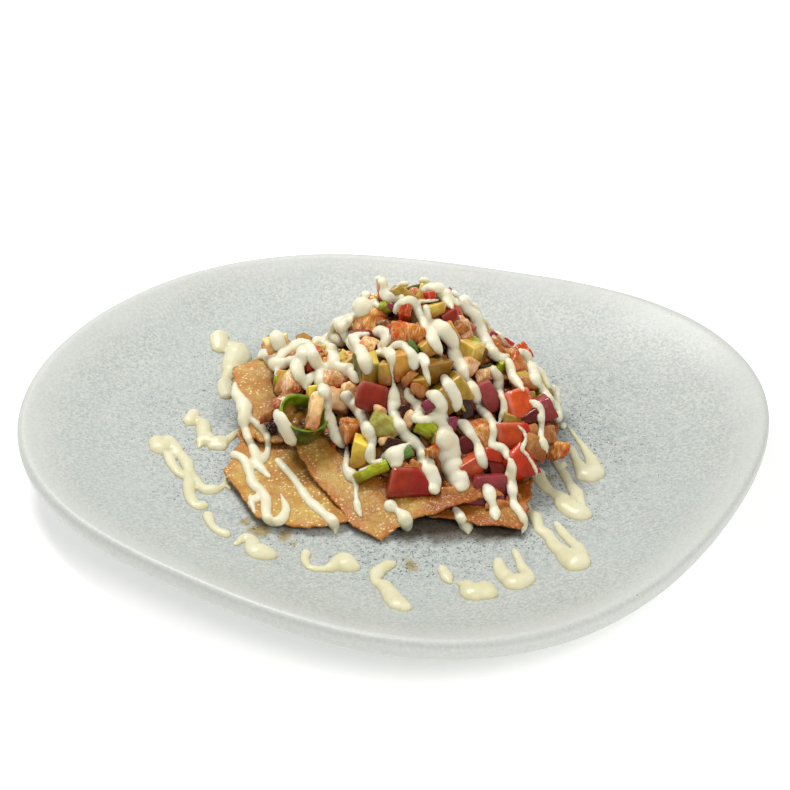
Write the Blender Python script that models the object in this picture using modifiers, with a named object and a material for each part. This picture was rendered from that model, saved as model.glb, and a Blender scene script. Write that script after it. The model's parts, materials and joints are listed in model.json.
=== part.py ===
"""A seafood tostada on a speckled stoneware plate.

Thin fried sheets lie over each other on the plate. A heap of diced seafood and vegetables stands on
them, and thick pale cream is drizzled over the heap, the sheets and the plate.

Everything is laid out in millimetres and turned into metres at the end. +X is to the right of the
front, +Y to the back and +Z up. The origin is on the table, under the middle of the plate.

The small pieces and the cream are placed by where they are seen from the front: SIGHT says from
where, and a seen place is a pair, across and down, on a square view of VIEW_SIZE steps.
"""

import math
import random

import bmesh
import bpy
from mathutils import Matrix, Vector, noise
from mathutils.bvhtree import BVHTree

MM = 0.001                                # one millimetre in metres
GAP = 0.4                                 # clearance between neighbouring solids
FLAT_ANGLE = math.radians(1.5)            # faces that turn by less than this are one

# Where the front view is taken from.
VIEW_SIZE = 790
VIEW_FOCAL = 790 * 85 / 36                # an 85 mm lens on a 36 mm frame, in steps of the view
SIGHT_ELEVATION = math.radians(33)
SIGHT_AIM = Vector((0, 22.2, 20))
SIGHT_DISTANCE = 725

# The plate: a hand-made outline, given as a circle with a few lobes.
PLATE_RADIUS = 134.4
PLATE_LOBES = ((2, 8.6, -16.5), (3, 4.9, 31.4), (4, 3.7, 18.2))   # count, height, first angle
PLATE_SEGMENTS = 54
WELL_HEIGHT = 8.0
PLATE_PROFILE = (                         # share of the outline, height above the table
    (0.0, WELL_HEIGHT), (0.34, WELL_HEIGHT), (0.56, 8.3), (0.68, 10.2), (0.79, 13.7), (0.88, 18.0),
    (0.945, 22.0), (0.97, 23.6), (0.985, 24.0), (0.997, 23.0), (1.0, 20.5), (0.987, 16.4),
    (0.93, 12.6), (0.80, 7.4), (0.66, 3.4), (0.60, 1.4), (0.585, 0.0), (0.53, 0.0), (0.515, 2.6),
    (0.0, 2.6),
)

# The fried sheets, from the lowest to the highest: four corners, and how far each side bows out.
SHEET_THICKNESS = 2.0
SHEET_CELLS = 7
SHEET_RIPPLE = 1.6
SHEETS = {
    "crisp_front_left": (((-61, 12, 13), (-50, -46, 11), (-14, -46, 11), (-12, 12, 12)), (7, 7, 2, 2)),
    "crisp_front_right": (((10, -43, 11), (45, -52, 11.5), (51, -19, 13), (14, -8, 11)), (1, 1, 1, 1)),
    "crisp_back": (((-52, 67, 20.5), (-56, 30, 12), (-12, 20, 11), (-14, 50, 15)), (1, 1, 1, 1)),
    "crisp_back_right": (((4, 24, 12), (50, 8, 12.5), (57, 54, 14), (8, 74, 14.5)), (1, 1, 1, 2)),
    "crisp_right": (((24, -16, 16), (60, -5, 16.5), (63, 32, 18), (20, 36, 17)), (1, 2, 1, 1)),
    "crisp_back_left": (((-54, 7, 18.5), (-6, 20, 25.5), (-8, 62, 24), (-63, 44, 19.5)), (1, 1, 1, 2)),
    "crisp_front": (((-4, -55, 12.5), (38, -36, 16), (0, 10, 24), (-47, -7, 19)), (1, 1, 1, 1)),
}

# The heap's outer form: three mounds that run into each other.
# Middle (x, y), reach to the left, right, front and back, height of the foot and of the top,
# roundness of the tip.
MOUNDS = (
    ((8, 32), (46, 54, 74, 44), 14, 62, 0.30),
    ((-33, 26), (22, 30, 32, 30), 20, 38, 0.8),
    ((48, 8), (30, 20, 40, 38), 16, 37, 0.7),
)
MOUND_BLEND = 3.0
MOUND_RIM = 0.06                          # share of its height that a mound still has at the heap's rim
CORE_DEPTH = 5.5                          # how far the dark dressed core lies under the outer form
CORE_STEEPEST = 0.4                       # least share of upright in a slope that the depth allows for
DRESSING_DEPTH = 1.6                      # the dressing that spreads under the outermost pieces
HEAP_MIDDLE = Vector((6, 20))
CORE_SEGMENTS = 20
CORE_RINGS = 12
REST_CELL = 7.0                           # cell of the surface that trims the underside of the heap

# Pieces in the heap: kind, seen place, width and height in millimetres, lean in degrees.
PIECES = (
    ("strip", (381, 286), 5, 10, 0), ("wedge", (407, 294), 12, 6, -8), ("dice", (434, 308), 6, 7, 10),
    ("dice", (452, 316), 6, 8, 0), ("curl", (368, 319), 12, 13, 20), ("curl", (467, 328), 6, 12, 0),
    ("curl", (407, 330), 12, 9, 10), ("dice", (406, 311), 5, 7, 0), ("dice", (461, 305), 4, 4, 20),
    ("dice", (472, 350), 8, 12, 0), ("dice", (471, 367), 7, 7, 15), ("curl", (486, 374), 8, 4, 0),
    ("dice", (365, 369), 8, 13, 5), ("strip", (384, 373), 6, 11, 0), ("dice", (401, 362), 7, 13, 0),
    ("dice", (435, 369), 8, 12, 10), ("dice", (418, 382), 8, 11, -15), ("dice", (426, 346), 8, 8, 0),
    ("curl", (365, 344), 6, 7, 0), ("curl", (346, 356), 6, 7, 30), ("wedge", (310, 360), 5, 9, -20),
    ("strip", (320, 353), 3, 7, 15), ("curl", (288, 378), 10, 10, 0), ("curl", (286, 400), 8, 5, 10),
    ("dice", (338, 379), 8, 5, 0), ("dice", (338, 401), 9, 9, 5), ("wedge", (371, 397), 13, 10, 10),
    ("ring", (302, 420), 18, 19, 0), ("strip", (317, 420), 5, 14, 12), ("curl", (348, 429), 8, 13, 0),
    ("strip", (380, 427), 9, 11, 25), ("dice", (360, 451), 8, 12, 5), ("strip", (375, 471), 13, 5, -20),
    ("strip", (400, 458), 9, 5, -25), ("dice", (406, 484), 14, 12, 0), ("dice", (449, 394), 12, 13, 20),
    ("dice", (419, 385), 6, 7, 0), ("strip", (427, 407), 8, 6, 25), ("dice", (424, 429), 8, 7, 0),
    ("curl", (480, 430), 9, 11, 0), ("dice", (466, 443), 8, 8, 0), ("curl", (433, 450), 6, 6, 0),
    ("dice", (468, 462), 8, 11, 10), ("slab", (490, 396), 8, 15, -28), ("dice", (518, 401), 11, 12, 15),
    ("slab", (545, 411), 12, 12, -15), ("dice", (510, 437), 11, 10, 0), ("dice", (523, 464), 10, 12, 20),
    ("dice", (499, 463), 8, 9, 0), ("slab", (491, 481), 12, 10, 10), ("strip", (487, 499), 16, 4, 4),
    ("dice", (529, 424), 7, 7, 0), ("dice", (553, 432), 7, 7, 0), ("curl", (534, 450), 7, 9, 0),
    ("curl", (560, 450), 7, 8, 0), ("curl", (519, 365), 8, 10, 0), ("dice", (528, 382), 7, 6, 0),
    ("curl", (523, 347), 6, 7, 0), ("curl", (500, 350), 7, 7, 0), ("strip", (541, 371), 4, 10, -15),
)
HIDDEN_PIECES = 34                        # more of the same round the back, where nothing is seen
HIDDEN_FROM = math.radians(-22)
HIDDEN_TO = math.radians(188)
HIDDEN_ROWS = (0.9, 0.66, 0.42)           # share of the way from the heap's middle to its edge
HIDDEN_SIZE = (6.5, 10.5)
HIDDEN_STRANDS = 5                        # cream that runs down the back

# Shapes of the pieces, as shares of their width or of their shorter side.
DICE_DEPTH = 0.9
SLAB_DEPTH = 0.6
ROUND_DEPTH = 0.8
CURL_BEND = 0.28
CURL_WIDTH = 0.95
RING_LENGTH = 0.45
RING_WALL = 0.12
RING_HOLLOW = 0.15

# Thick cream on the heap: the strand's radius, then the seen places that it runs through.
HEAP_CREAM = (
    (2.4, ((261, 354), (275, 358), (290, 352), (306, 346), (320, 343), (331, 355))),
    (2.1, ((298, 352), (300, 368), (304, 384))),
    (2.4, ((339, 327), (345, 341), (361, 351), (367, 370))),
    (2.1, ((352, 336), (372, 335), (387, 337))),
    (2.1, ((326, 367), (348, 368))),
    (2.1, ((322, 374), (323, 399), (329, 421), (338, 441))),
    (2.3, ((349, 399), (362, 416), (370, 436), (372, 458), (390, 454), (406, 446))),
    (2.2, ((381, 280), (386, 294), (402, 298), (415, 303), (422, 319))),
    (2.1, ((438, 287), (443, 301), (447, 311))),
    (2.4, ((378, 355), (392, 358), (391, 372), (393, 399), (404, 428), (418, 455), (433, 473), (435, 487))),
    (2.1, ((394, 346), (408, 347), (414, 364))),
    (3.1, ((429, 329), (447, 340), (455, 356), (464, 373))),
    (2.1, ((425, 350), (427, 369), (429, 384))),
    (2.5, ((446, 380), (455, 396), (457, 411))),
    (3.7, ((434, 400), (444, 421), (450, 445), (458, 470), (460, 484))),
    (2.4, ((468, 303), (478, 329), (495, 354), (510, 362), (521, 387))),
    (2.5, ((471, 380), (478, 406), (492, 426), (492, 444), (506, 453), (511, 470), (512, 492))),
    (2.1, ((494, 372), (502, 402))),
    (2.3, ((460, 423), (475, 440), (483, 465))),
    (2.3, ((523, 353), (537, 380), (552, 403), (562, 422))),
    (2.1, ((536, 404), (541, 426), (545, 449))),
)
CREAM_SIDES = 1                           # roundness of a strand in the heap, in bevel steps

STRAND_END = 0.7                          # share of its thickness that a strand keeps at its ends

# Cream on the fried sheets, the same way, by the sheet that it lies on.
SHEET_CREAM = {
    "crisp_back_left": ((1.4, ((238, 384), (241, 396), (247, 408))),),
    "crisp_front_left": (
        (1.5, ((252, 437), (257, 452), (262, 466))),
        (1.6, ((236, 457), (246, 470), (261, 490), (266, 508), (277, 520), (286, 510), (282, 498))),
        (1.5, ((279, 462), (292, 477), (306, 498), (325, 520))),
    ),
    "crisp_front": (
        (1.3, ((342, 463), (353, 476), (358, 503))),
        (1.7, ((390, 508), (399, 514), (406, 524))),
    ),
    "crisp_front_right": ((1.6, ((458, 516), (464, 524))), (1.6, ((517, 506), (520, 520)))),
    "crisp_back": ((2.4, ((273, 340), (281, 344))),),
}

# Cream on the plate: strands as above, and drops as a radius and a seen place.
PLATE_CREAM = {
    "cream_far_left": ((2.7, ((220, 343), (230, 355), (238, 366), (236, 380), (227, 392))),
                       (4.2, (220, 343)), (4.8, (238, 362))),
    "cream_left_edge": ((2.4, ((192, 419), (201, 434), (217, 445))), (3.0, (193, 420))),
    "cream_left": ((2.7, ((160, 446), (171, 468), (185, 483), (194, 502), (205, 508))),
                   (3.6, (161, 447))),
    "cream_near_left_streak": ((1.8, ((208, 516), (217, 528), (226, 535))), (2.3, (208, 516))),
    "cream_near_left": ((2.4, ((238, 544), (249, 539), (260, 554))), (5.4, (260, 554))),
    "cream_near": ((2.5, ((308, 553), (308, 566), (321, 571), (346, 565))), (4.4, (346, 565))),
    "cream_front": ((2.8, ((392, 564), (379, 573), (380, 586), (391, 599), (404, 609))),
                    (3.3, (391, 564))),
    "cream_drop_front": ((2.4, ((445, 570), (445, 579))), (3.2, (445, 579))),
    "cream_drop_right": ((3.0, ((463, 583), (481, 593))), (4.8, (481, 593))),
    "cream_near_right": ((2.4, ((499, 560), (505, 575), (518, 582))), (5.0, (518, 582))),
    "cream_right_long": ((2.6, ((535, 514), (543, 529), (558, 548), (575, 563))), (5.5, (575, 563))),
    "cream_right": ((2.5, ((548, 483), (556, 493), (574, 509))), (5.8, (574, 509))),
    "cream_far_right": ((2.4, ((577, 442), (583, 456), (591, 474))), (4.4, (591, 474))),
}
CREAM_PUDDLE = 1.5                        # cream on the plate stands this times the root of its radius

# Colours, as red, green and blue, and roughness.
FINISHES = {
    "glaze": ((0.60, 0.64, 0.61), 0.3),
    "fried_sheet": ((0.68, 0.36, 0.12), 0.5),
    "cream": ((0.80, 0.77, 0.58), 0.3),
    "heap": ((0.42, 0.16, 0.06), 0.35),
}


# --- small helpers ------------------------------------------------------------------------------

def make_material(name):
    colour, roughness = FINISHES[name]
    material = bpy.data.materials.new(name)
    material.use_nodes = True
    shader = material.node_tree.nodes["Principled BSDF"]
    shader.inputs["Base Color"].default_value = (*colour, 1)
    shader.inputs["Roughness"].default_value = roughness
    return material


def mesh_object(name, mesh):
    piece = bpy.data.objects.new(name, mesh)
    bpy.context.scene.collection.objects.link(piece)
    return piece


def bmesh_object(name, form):
    mesh = bpy.data.meshes.new(name)
    form.to_mesh(mesh)
    form.free()
    return mesh_object(name, mesh)


def apply_modifiers(piece):
    """Make what the modifiers show the object's own mesh."""
    bpy.context.view_layer.update()
    shown = piece.evaluated_get(bpy.context.evaluated_depsgraph_get())
    mesh = bpy.data.meshes.new_from_object(shown)
    piece.modifiers.clear()
    piece.data = mesh


def boolean(piece, operation, others):
    """Join others to the piece, or cut them from it, and remove them."""
    group = bpy.data.collections.new(piece.name + "_parts")
    bpy.context.scene.collection.children.link(group)
    for other in others:
        group.objects.link(other)
    step = piece.modifiers.new(operation.lower(), "BOOLEAN")
    step.operation = operation
    step.operand_type = "COLLECTION"
    step.collection = group
    step.solver = "EXACT"
    step.use_self = True
    apply_modifiers(piece)
    for other in others:
        bpy.data.objects.remove(other)
    bpy.data.collections.remove(group)


def keep_largest_body(piece):
    """Drop the loose scraps that a cut leaves."""
    form = bmesh.new()
    form.from_mesh(piece.data)
    bmesh.ops.remove_doubles(form, verts=form.verts, dist=0.002)
    bmesh.ops.dissolve_degenerate(form, edges=form.edges, dist=0.002)
    unseen = set(form.verts)
    bodies = []
    while unseen:
        body = {unseen.pop()}
        edge = list(body)
        while edge:
            vert = edge.pop()
            for link in vert.link_edges:
                other = link.other_vert(vert)
                if other in unseen:
                    unseen.remove(other)
                    body.add(other)
                    edge.append(other)
        bodies.append(body)
    largest = max(bodies, key=len)
    scraps = [vert for vert in form.verts if vert not in largest]
    bmesh.ops.delete(form, geom=scraps, context="VERTS")
    bmesh.ops.dissolve_limit(form, verts=form.verts, edges=form.edges, angle_limit=FLAT_ANGLE)
    bmesh.ops.triangulate(form, faces=form.faces)
    form.to_mesh(piece.data)
    form.free()


class Ground:
    """The upper side of all that is laid so far, and what is seen of it from the front."""

    def __init__(self):
        self.trees = []

    def add(self, piece):
        form = bmesh.new()
        form.from_mesh(piece.data)
        self.trees.append(BVHTree.FromBMesh(form))
        form.free()

    def height(self, x, y, reach=0.0):
        """The highest point at a place, or within reach of it."""
        offsets = [(0, 0)]
        if reach:
            offsets = [(i * reach / 2, j * reach / 2) for i in range(-2, 3) for j in range(-2, 3)]
        best = 0.0
        for dx, dy in offsets:
            for tree in self.trees:
                hit = tree.ray_cast(Vector((x + dx, y + dy, 200)), Vector((0, 0, -1)))[0]
                if hit and hit.z > best:
                    best = hit.z
        return best

    def seen(self, place, with_heap=False):
        """The point that a seen place lies on."""
        eye, way = sight_line(place)
        far = min(hit[3] for hit in (tree.ray_cast(eye, way) for tree in self.trees) if hit[0])
        if not with_heap:
            return eye + way * far
        closest = (math.inf, None)
        for step in range(400):
            point = eye + way * (far - 200 + step * 0.5)
            above = point.z - mound_height(point.x, point.y)
            if above <= 0:
                return point
            closest = min(closest, (above, point), key=lambda pair: pair[0])
        return closest[1]


def sight_line(place):
    """Where the front view is taken from, and the way to a seen place."""
    back = Vector((0, -math.cos(SIGHT_ELEVATION), math.sin(SIGHT_ELEVATION)))
    right = Vector((1, 0, 0))
    up = back.cross(right)
    across = (place[0] - VIEW_SIZE / 2) / VIEW_FOCAL
    down = (place[1] - VIEW_SIZE / 2) / VIEW_FOCAL
    way = right * across - up * down - back
    return SIGHT_AIM + back * SIGHT_DISTANCE, way.normalized()


# --- plate ----------------------------------------------------------------------------------------

def plate_radius(angle):
    lobes = (height * math.cos(count * (angle - math.radians(first)))
             for count, height, first in PLATE_LOBES)
    return PLATE_RADIUS + sum(lobes)


def make_plate():
    profile = bpy.data.meshes.new("plate")
    edges = [(i, i + 1) for i in range(len(PLATE_PROFILE) - 1)]
    profile.from_pydata([(share, 0, z) for share, z in PLATE_PROFILE], edges, [])
    plate = mesh_object("plate", profile)
    turn = plate.modifiers.new("turn", "SCREW")
    turn.steps = PLATE_SEGMENTS
    turn.render_steps = PLATE_SEGMENTS
    turn.use_merge_vertices = True
    turn.merge_threshold = 0.0001
    apply_modifiers(plate)
    for vert in plate.data.vertices:
        radius = plate_radius(math.atan2(vert.co.y, vert.co.x))
        vert.co.x *= radius
        vert.co.y *= radius
    low, high = corners(plate)
    plate.data.transform(Matrix.Translation((-(low.x + high.x) / 2, -(low.y + high.y) / 2, 0)))
    return plate


def corners(piece):
    points = [vert.co for vert in piece.data.vertices]
    low = Vector([min(point[i] for point in points) for i in range(3)])
    high = Vector([max(point[i] for point in points) for i in range(3)])
    return low, high


# --- fried sheets -----------------------------------------------------------------------------------

def sheet_point(corner_points, bows, u, v):
    """A point of a four-cornered sheet whose sides bow outwards."""
    near_left, near_right, far_right, far_left = (Vector(corner) for corner in corner_points)
    point = (near_left.lerp(near_right, u)).lerp(far_left.lerp(far_right, u), v)
    sides = ((near_left, near_right, u, 1 - v), (near_right, far_right, v, u),
             (far_right, far_left, u, v), (far_left, near_left, v, 1 - u))
    for (start, end, along, share), bow in zip(sides, bows):
        out = Vector((end.y - start.y, start.x - end.x, 0)).normalized()
        point += out * bow * 4 * along * (1 - along) * share
    return point


def make_sheet(name, ground):
    corner_points, bows = SHEETS[name]
    form = bmesh.new()
    bmesh.ops.create_grid(form, x_segments=SHEET_CELLS, y_segments=SHEET_CELLS, size=0.5)
    for vert in form.verts:
        point = sheet_point(corner_points, bows, vert.co.x + 0.5, vert.co.y + 0.5)
        point.z += SHEET_RIPPLE * noise.noise(point / 14)
        rest = ground.height(point.x, point.y, 3.0) + SHEET_THICKNESS + 2 * GAP
        point.z = max(point.z, rest)
        vert.co = point
    bmesh.ops.recalc_face_normals(form, faces=form.faces)
    if sum(face.normal.z for face in form.faces) < 0:
        bmesh.ops.reverse_faces(form, faces=form.faces)
    sheet = bmesh_object(name, form)
    solid = sheet.modifiers.new("thickness", "SOLIDIFY")
    solid.thickness = SHEET_THICKNESS
    solid.offset = -1
    apply_modifiers(sheet)
    return sheet


# --- cream ------------------------------------------------------------------------------------------

def tube(name, points, radius, roundness):
    """A strand through the points, with narrower ends."""
    curve = bpy.data.curves.new(name, "CURVE")
    curve.dimensions = "3D"
    curve.bevel_depth = radius
    curve.bevel_resolution = roundness
    curve.use_fill_caps = True
    spline = curve.splines.new("POLY")
    spline.points.add(len(points) - 1)
    for point, place in zip(spline.points, points):
        point.co = (*place, 1)
    spline.points[0].radius = STRAND_END
    spline.points[-1].radius = STRAND_END
    strand = mesh_object(name, curve)
    bpy.context.view_layer.update()
    shown = strand.evaluated_get(bpy.context.evaluated_depsgraph_get())
    mesh = bpy.data.meshes.new_from_object(shown)
    bpy.data.objects.remove(strand)
    form = bmesh.new()
    form.from_mesh(mesh)
    bmesh.ops.remove_doubles(form, verts=form.verts, dist=0.001)
    bmesh.ops.recalc_face_normals(form, faces=form.faces)
    return bmesh_object(name, form)


def drop(name, place, radius):
    form = bmesh.new()
    bmesh.ops.create_uvsphere(form, u_segments=9, v_segments=5, radius=radius)
    bmesh.ops.translate(form, verts=form.verts, vec=place)
    return bmesh_object(name, form)


def halfway(points):
    """The points of a line with one more between each two, smoothed."""
    line = [points[0]]
    for i in range(len(points) - 1):
        before = points[max(i - 1, 0)]
        after = points[min(i + 2, len(points) - 1)]
        line.append((points[i] + points[i + 1]) * 0.5625 - (before + after) * 0.0625)
        line.append(points[i + 1])
    return line


def add_sheet_cream(sheet, ground):
    strands = []
    for radius, places in SHEET_CREAM.get(sheet.name, ()):
        points = [ground.seen(place) + Vector((0, 0, 0.3 * radius)) for place in places]
        strands.append(tube("strand", points, radius, CREAM_SIDES))
    if strands:
        boolean(sheet, "UNION", strands)


def make_plate_cream(name, ground):
    """Cream that has run flat on the plate, fused from its strand and drop."""
    (radius, places), *drops = PLATE_CREAM[name]
    points = halfway([ground.seen(place) for place in places])
    cream = tube(name, points, radius, CREAM_SIDES)
    boolean(cream, "UNION", [drop("drop", ground.seen(place), size) for size, place in drops])
    for vert in cream.data.vertices:
        rise = max(vert.co.z - ground.height(vert.co.x, vert.co.y), 0)
        floor = ground.height(vert.co.x, vert.co.y, 1.0) + GAP
        vert.co.z = floor + CREAM_PUDDLE * math.sqrt(rise)
    keep_largest_body(cream)
    return cream


# --- heap -------------------------------------------------------------------------------------------

def mound_shares(x, y):
    """How high a place is in each mound: 1 at its top, 0 at its foot and less outside."""
    shares = []
    for middle, reaches, _, _, tip in MOUNDS:
        left, right, front, back = reaches
        dx = x - middle[0]
        dy = y - middle[1]
        across = dx / (right if dx > 0 else left)
        along = dy / (back if dy > 0 else front)
        edge = math.sqrt(1 + tip * tip)
        share = (edge - math.sqrt(across * across + along * along + tip * tip)) / (edge - tip)
        shares.append(share)
    return shares


def mound_height(x, y):
    """The height of the heap's outer form."""
    heights = [foot + (top - foot) * share
               for (_, _, foot, top, _), share in zip(MOUNDS, mound_shares(x, y))]
    highest = max(heights)
    blended = sum(math.exp((height - highest) / MOUND_BLEND) for height in heights)
    return highest + MOUND_BLEND * math.log(blended)


def mound_normal(x, y):
    step = 1.5
    slope_x = (mound_height(x + step, y) - mound_height(x - step, y)) / (2 * step)
    slope_y = (mound_height(x, y + step) - mound_height(x, y - step)) / (2 * step)
    return Vector((-slope_x, -slope_y, 1)).normalized()


def heap_reach(angle):
    """How far the heap reaches from its middle."""
    way = Vector((math.cos(angle), math.sin(angle)))
    for step in range(200):
        radius = 100 - step * 0.5
        point = HEAP_MIDDLE + radius * way
        if max(mound_shares(point.x, point.y)) > MOUND_RIM:
            return radius
    return 0.0


def make_core(ground):
    """A globe whose upper half is drawn onto the mounds and whose lower half is flattened."""
    form = bmesh.new()
    bmesh.ops.create_uvsphere(form, u_segments=CORE_SEGMENTS, v_segments=CORE_RINGS, radius=1)
    for vert in form.verts:
        angle = math.atan2(vert.co.y, vert.co.x)
        share = math.acos(min(abs(vert.co.z), 1)) / (math.pi / 2)
        way = Vector((math.cos(angle), math.sin(angle)))
        place = HEAP_MIDDLE + heap_reach(angle) * share * way
        if vert.co.z > -0.01:
            upright = max(mound_normal(place.x, place.y).z, CORE_STEEPEST)
            top = mound_height(place.x, place.y) - CORE_DEPTH / upright
            floor = ground.height(place.x, place.y, REST_CELL) + DRESSING_DEPTH
            lumps = 1.2 * noise.noise(Vector((place.x, place.y, 0)) / 9)
            vert.co = (place.x, place.y, max(top + lumps, floor))
        else:
            vert.co = (place.x, place.y, WELL_HEIGHT + 0.5)
    return bmesh_object("seafood_heap", form)


def frame_on_mound(point, lean, depth, ground):
    """The place and turn of a piece whose outer face lies in the mounds' form."""
    normal = mound_normal(point.x, point.y)
    right = (Vector((1, 0, 0)) - normal * normal.x).normalized()
    up = normal.cross(right)
    turn = Matrix((right, up, normal)).transposed().to_4x4()
    middle = point - normal * 0.5 * depth
    middle.z = max(middle.z, ground.height(middle.x, middle.y, 2.0) + 0.45 * depth)
    return Matrix.Translation(middle) @ turn @ Matrix.Rotation(math.radians(-lean), 4, "Z")


def make_dice(width, height, draw, depth_share=DICE_DEPTH):
    """A knife-cut block with uneven corners."""
    depth = min(width, height) * depth_share
    form = bmesh.new()
    bmesh.ops.create_cube(form, size=1)
    for vert in form.verts:
        vert.co.x *= width * draw.uniform(0.82, 1.08)
        vert.co.y *= height * draw.uniform(0.82, 1.08)
        vert.co.z *= depth * draw.uniform(0.85, 1.1)
    return form


def make_wedge(width, height):
    form = bmesh.new()
    bmesh.ops.create_cone(form, segments=7, radius1=0.5, radius2=0.3, depth=1, cap_ends=True)
    bmesh.ops.scale(form, verts=form.verts, vec=(width, height, min(width, height) * ROUND_DEPTH))
    return form


def make_curl(width, height, draw):
    """A shrimp or squid piece: a bent ball."""
    form = bmesh.new()
    bmesh.ops.create_uvsphere(form, u_segments=6, v_segments=4, radius=0.5)
    bend = draw.choice((-1, 1)) * CURL_BEND
    for vert in form.verts:
        vert.co.x += bend * (1 - (2 * vert.co.y) ** 2)
    spin = Matrix.Rotation(draw.uniform(-1, 1), 3, "Z")
    bmesh.ops.rotate(form, verts=form.verts, cent=(0, 0, 0), matrix=spin)
    depth = min(width, height) * ROUND_DEPTH
    bmesh.ops.scale(form, verts=form.verts, vec=(width * CURL_WIDTH, height, depth))
    return form


def make_ring(width, height):
    """A slice of a hot pepper: a short tube with a hollow in its outer face."""
    form = bmesh.new()
    bmesh.ops.create_cone(form, segments=14, radius1=0.42, radius2=0.5, depth=RING_LENGTH, cap_ends=True)
    caps = [face for face in form.faces if len(face.verts) > 4 and face.normal.z > 0]
    bmesh.ops.inset_region(form, faces=caps, thickness=RING_WALL)
    bmesh.ops.translate(form, verts=caps[0].verts, vec=(0, 0, -RING_HOLLOW))
    bmesh.ops.scale(form, verts=form.verts, vec=(width, height, width))
    return form


def make_piece(kind, width, height, draw):
    if kind == "curl":
        return make_curl(width, height, draw)
    if kind == "wedge":
        return make_wedge(width, height)
    if kind == "ring":
        return make_ring(width, height)
    if kind == "slab":
        return make_dice(width, height, draw, SLAB_DEPTH)
    return make_dice(width, height, draw)


def seen_pieces(ground, draw):
    pieces = []
    for kind, place, width, height, lean in PIECES:
        form = make_piece(kind, width, height, draw)
        point = ground.seen(place, with_heap=True)
        form.transform(frame_on_mound(point, lean, min(width, height), ground))
        pieces.append(bmesh_object(kind, form))
    return pieces


def hidden_places():
    """Kind, point, width, height and lean of the pieces in even rows round the back of the heap."""
    draw = random.Random(21)
    for i in range(HIDDEN_PIECES):
        turn = HIDDEN_FROM + (HIDDEN_TO - HIDDEN_FROM) * (i + 0.5) / HIDDEN_PIECES
        share = HIDDEN_ROWS[i % len(HIDDEN_ROWS)] + draw.uniform(-0.06, 0.06)
        place = HEAP_MIDDLE + heap_reach(turn) * share * Vector((math.cos(turn), math.sin(turn)))
        point = Vector((place.x, place.y, mound_height(place.x, place.y)))
        kind = draw.choice(("dice", "dice", "curl", "slab"))
        width = draw.uniform(*HIDDEN_SIZE)
        height = draw.uniform(*HIDDEN_SIZE)
        yield kind, point, width, height, draw.uniform(-60, 60)


def hidden_pieces(ground, draw):
    pieces = []
    for kind, point, width, height, lean in hidden_places():
        form = make_piece(kind, width, height, draw)
        form.transform(frame_on_mound(point, lean, min(width, height), ground))
        pieces.append(bmesh_object(kind, form))
    return pieces


def hidden_strands():
    """Cream that wanders from the top down the back."""
    strands = []
    draw = random.Random(5)
    for i in range(HIDDEN_STRANDS):
        turn = math.radians(15 + 150 * i / (HIDDEN_STRANDS - 1))
        points = []
        for share in (0.2, 0.4, 0.58, 0.74, 0.88):
            swing = turn + draw.uniform(-0.14, 0.14)
            way = Vector((math.cos(swing), math.sin(swing)))
            place = HEAP_MIDDLE + heap_reach(swing) * share * way
            point = Vector((place.x, place.y, mound_height(place.x, place.y)))
            points.append(point + mound_normal(place.x, place.y))
        strands.append(tube("strand", points, draw.uniform(1.9, 2.5), CREAM_SIDES))
    return strands


def heap_strands(ground):
    strands = []
    for radius, places in HEAP_CREAM:
        points = []
        for place in places:
            point = ground.seen(place, with_heap=True)
            points.append(point + mound_normal(point.x, point.y) * 0.5 * radius)
        strands.append(tube("strand", points, radius, CREAM_SIDES))
    return strands


def make_rest(ground):
    """A block whose upper side lies just above all that the heap rests on."""
    low = Vector((-77, -63))
    cells = Vector((24, 22))
    form = bmesh.new()
    bmesh.ops.create_grid(form, x_segments=int(cells.x), y_segments=int(cells.y), size=0.5)
    for vert in form.verts:
        x = low.x + (vert.co.x + 0.5) * cells.x * REST_CELL
        y = low.y + (vert.co.y + 0.5) * cells.y * REST_CELL
        vert.co = (x, y, ground.height(x, y, REST_CELL) + GAP)
    below = bmesh.ops.extrude_face_region(form, geom=form.faces[:])
    for vert in below["geom"]:
        if isinstance(vert, bmesh.types.BMVert):
            vert.co.z = -20
    bmesh.ops.recalc_face_normals(form, faces=form.faces)
    return bmesh_object("rest", form)


def make_heap(ground):
    draw = random.Random(7)
    heap = make_core(ground)
    pieces = seen_pieces(ground, draw) + hidden_pieces(ground, draw)
    boolean(heap, "UNION", pieces + heap_strands(ground) + hidden_strands())
    boolean(heap, "DIFFERENCE", [make_rest(ground)])
    keep_largest_body(heap)
    return heap


# --- the whole dish -----------------------------------------------------------------------------------

def finish(piece, material, collection):
    """Give the piece its material, and turn its millimetres into metres."""
    piece.data.transform(Matrix.Scale(MM, 4))
    piece.data.materials.clear()
    piece.data.materials.append(material)
    piece.data.shade_smooth()
    piece.data.set_sharp_from_angle(angle=math.radians(35))
    bpy.context.scene.collection.objects.unlink(piece)
    collection.objects.link(piece)


def main():
    for old in list(bpy.data.objects):
        bpy.data.objects.remove(old)
    dish = bpy.data.collections.new("seafood_tostada")
    bpy.context.scene.collection.children.link(dish)
    materials = {name: make_material(name) for name in FINISHES}

    ground = Ground()
    plate = make_plate()
    ground.add(plate)
    made = [(plate, "glaze")]
    for name in PLATE_CREAM:
        made.append((make_plate_cream(name, ground), "cream"))
    for cream, _ in made[1:]:
        ground.add(cream)
    for name in SHEETS:
        sheet = make_sheet(name, ground)
        bare = Ground()
        bare.add(sheet)
        add_sheet_cream(sheet, bare)
        ground.add(sheet)
        made.append((sheet, "fried_sheet"))
    made.append((make_heap(ground), "heap"))
    for piece, name in made:
        finish(piece, materials[name], dish)


main()
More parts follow.
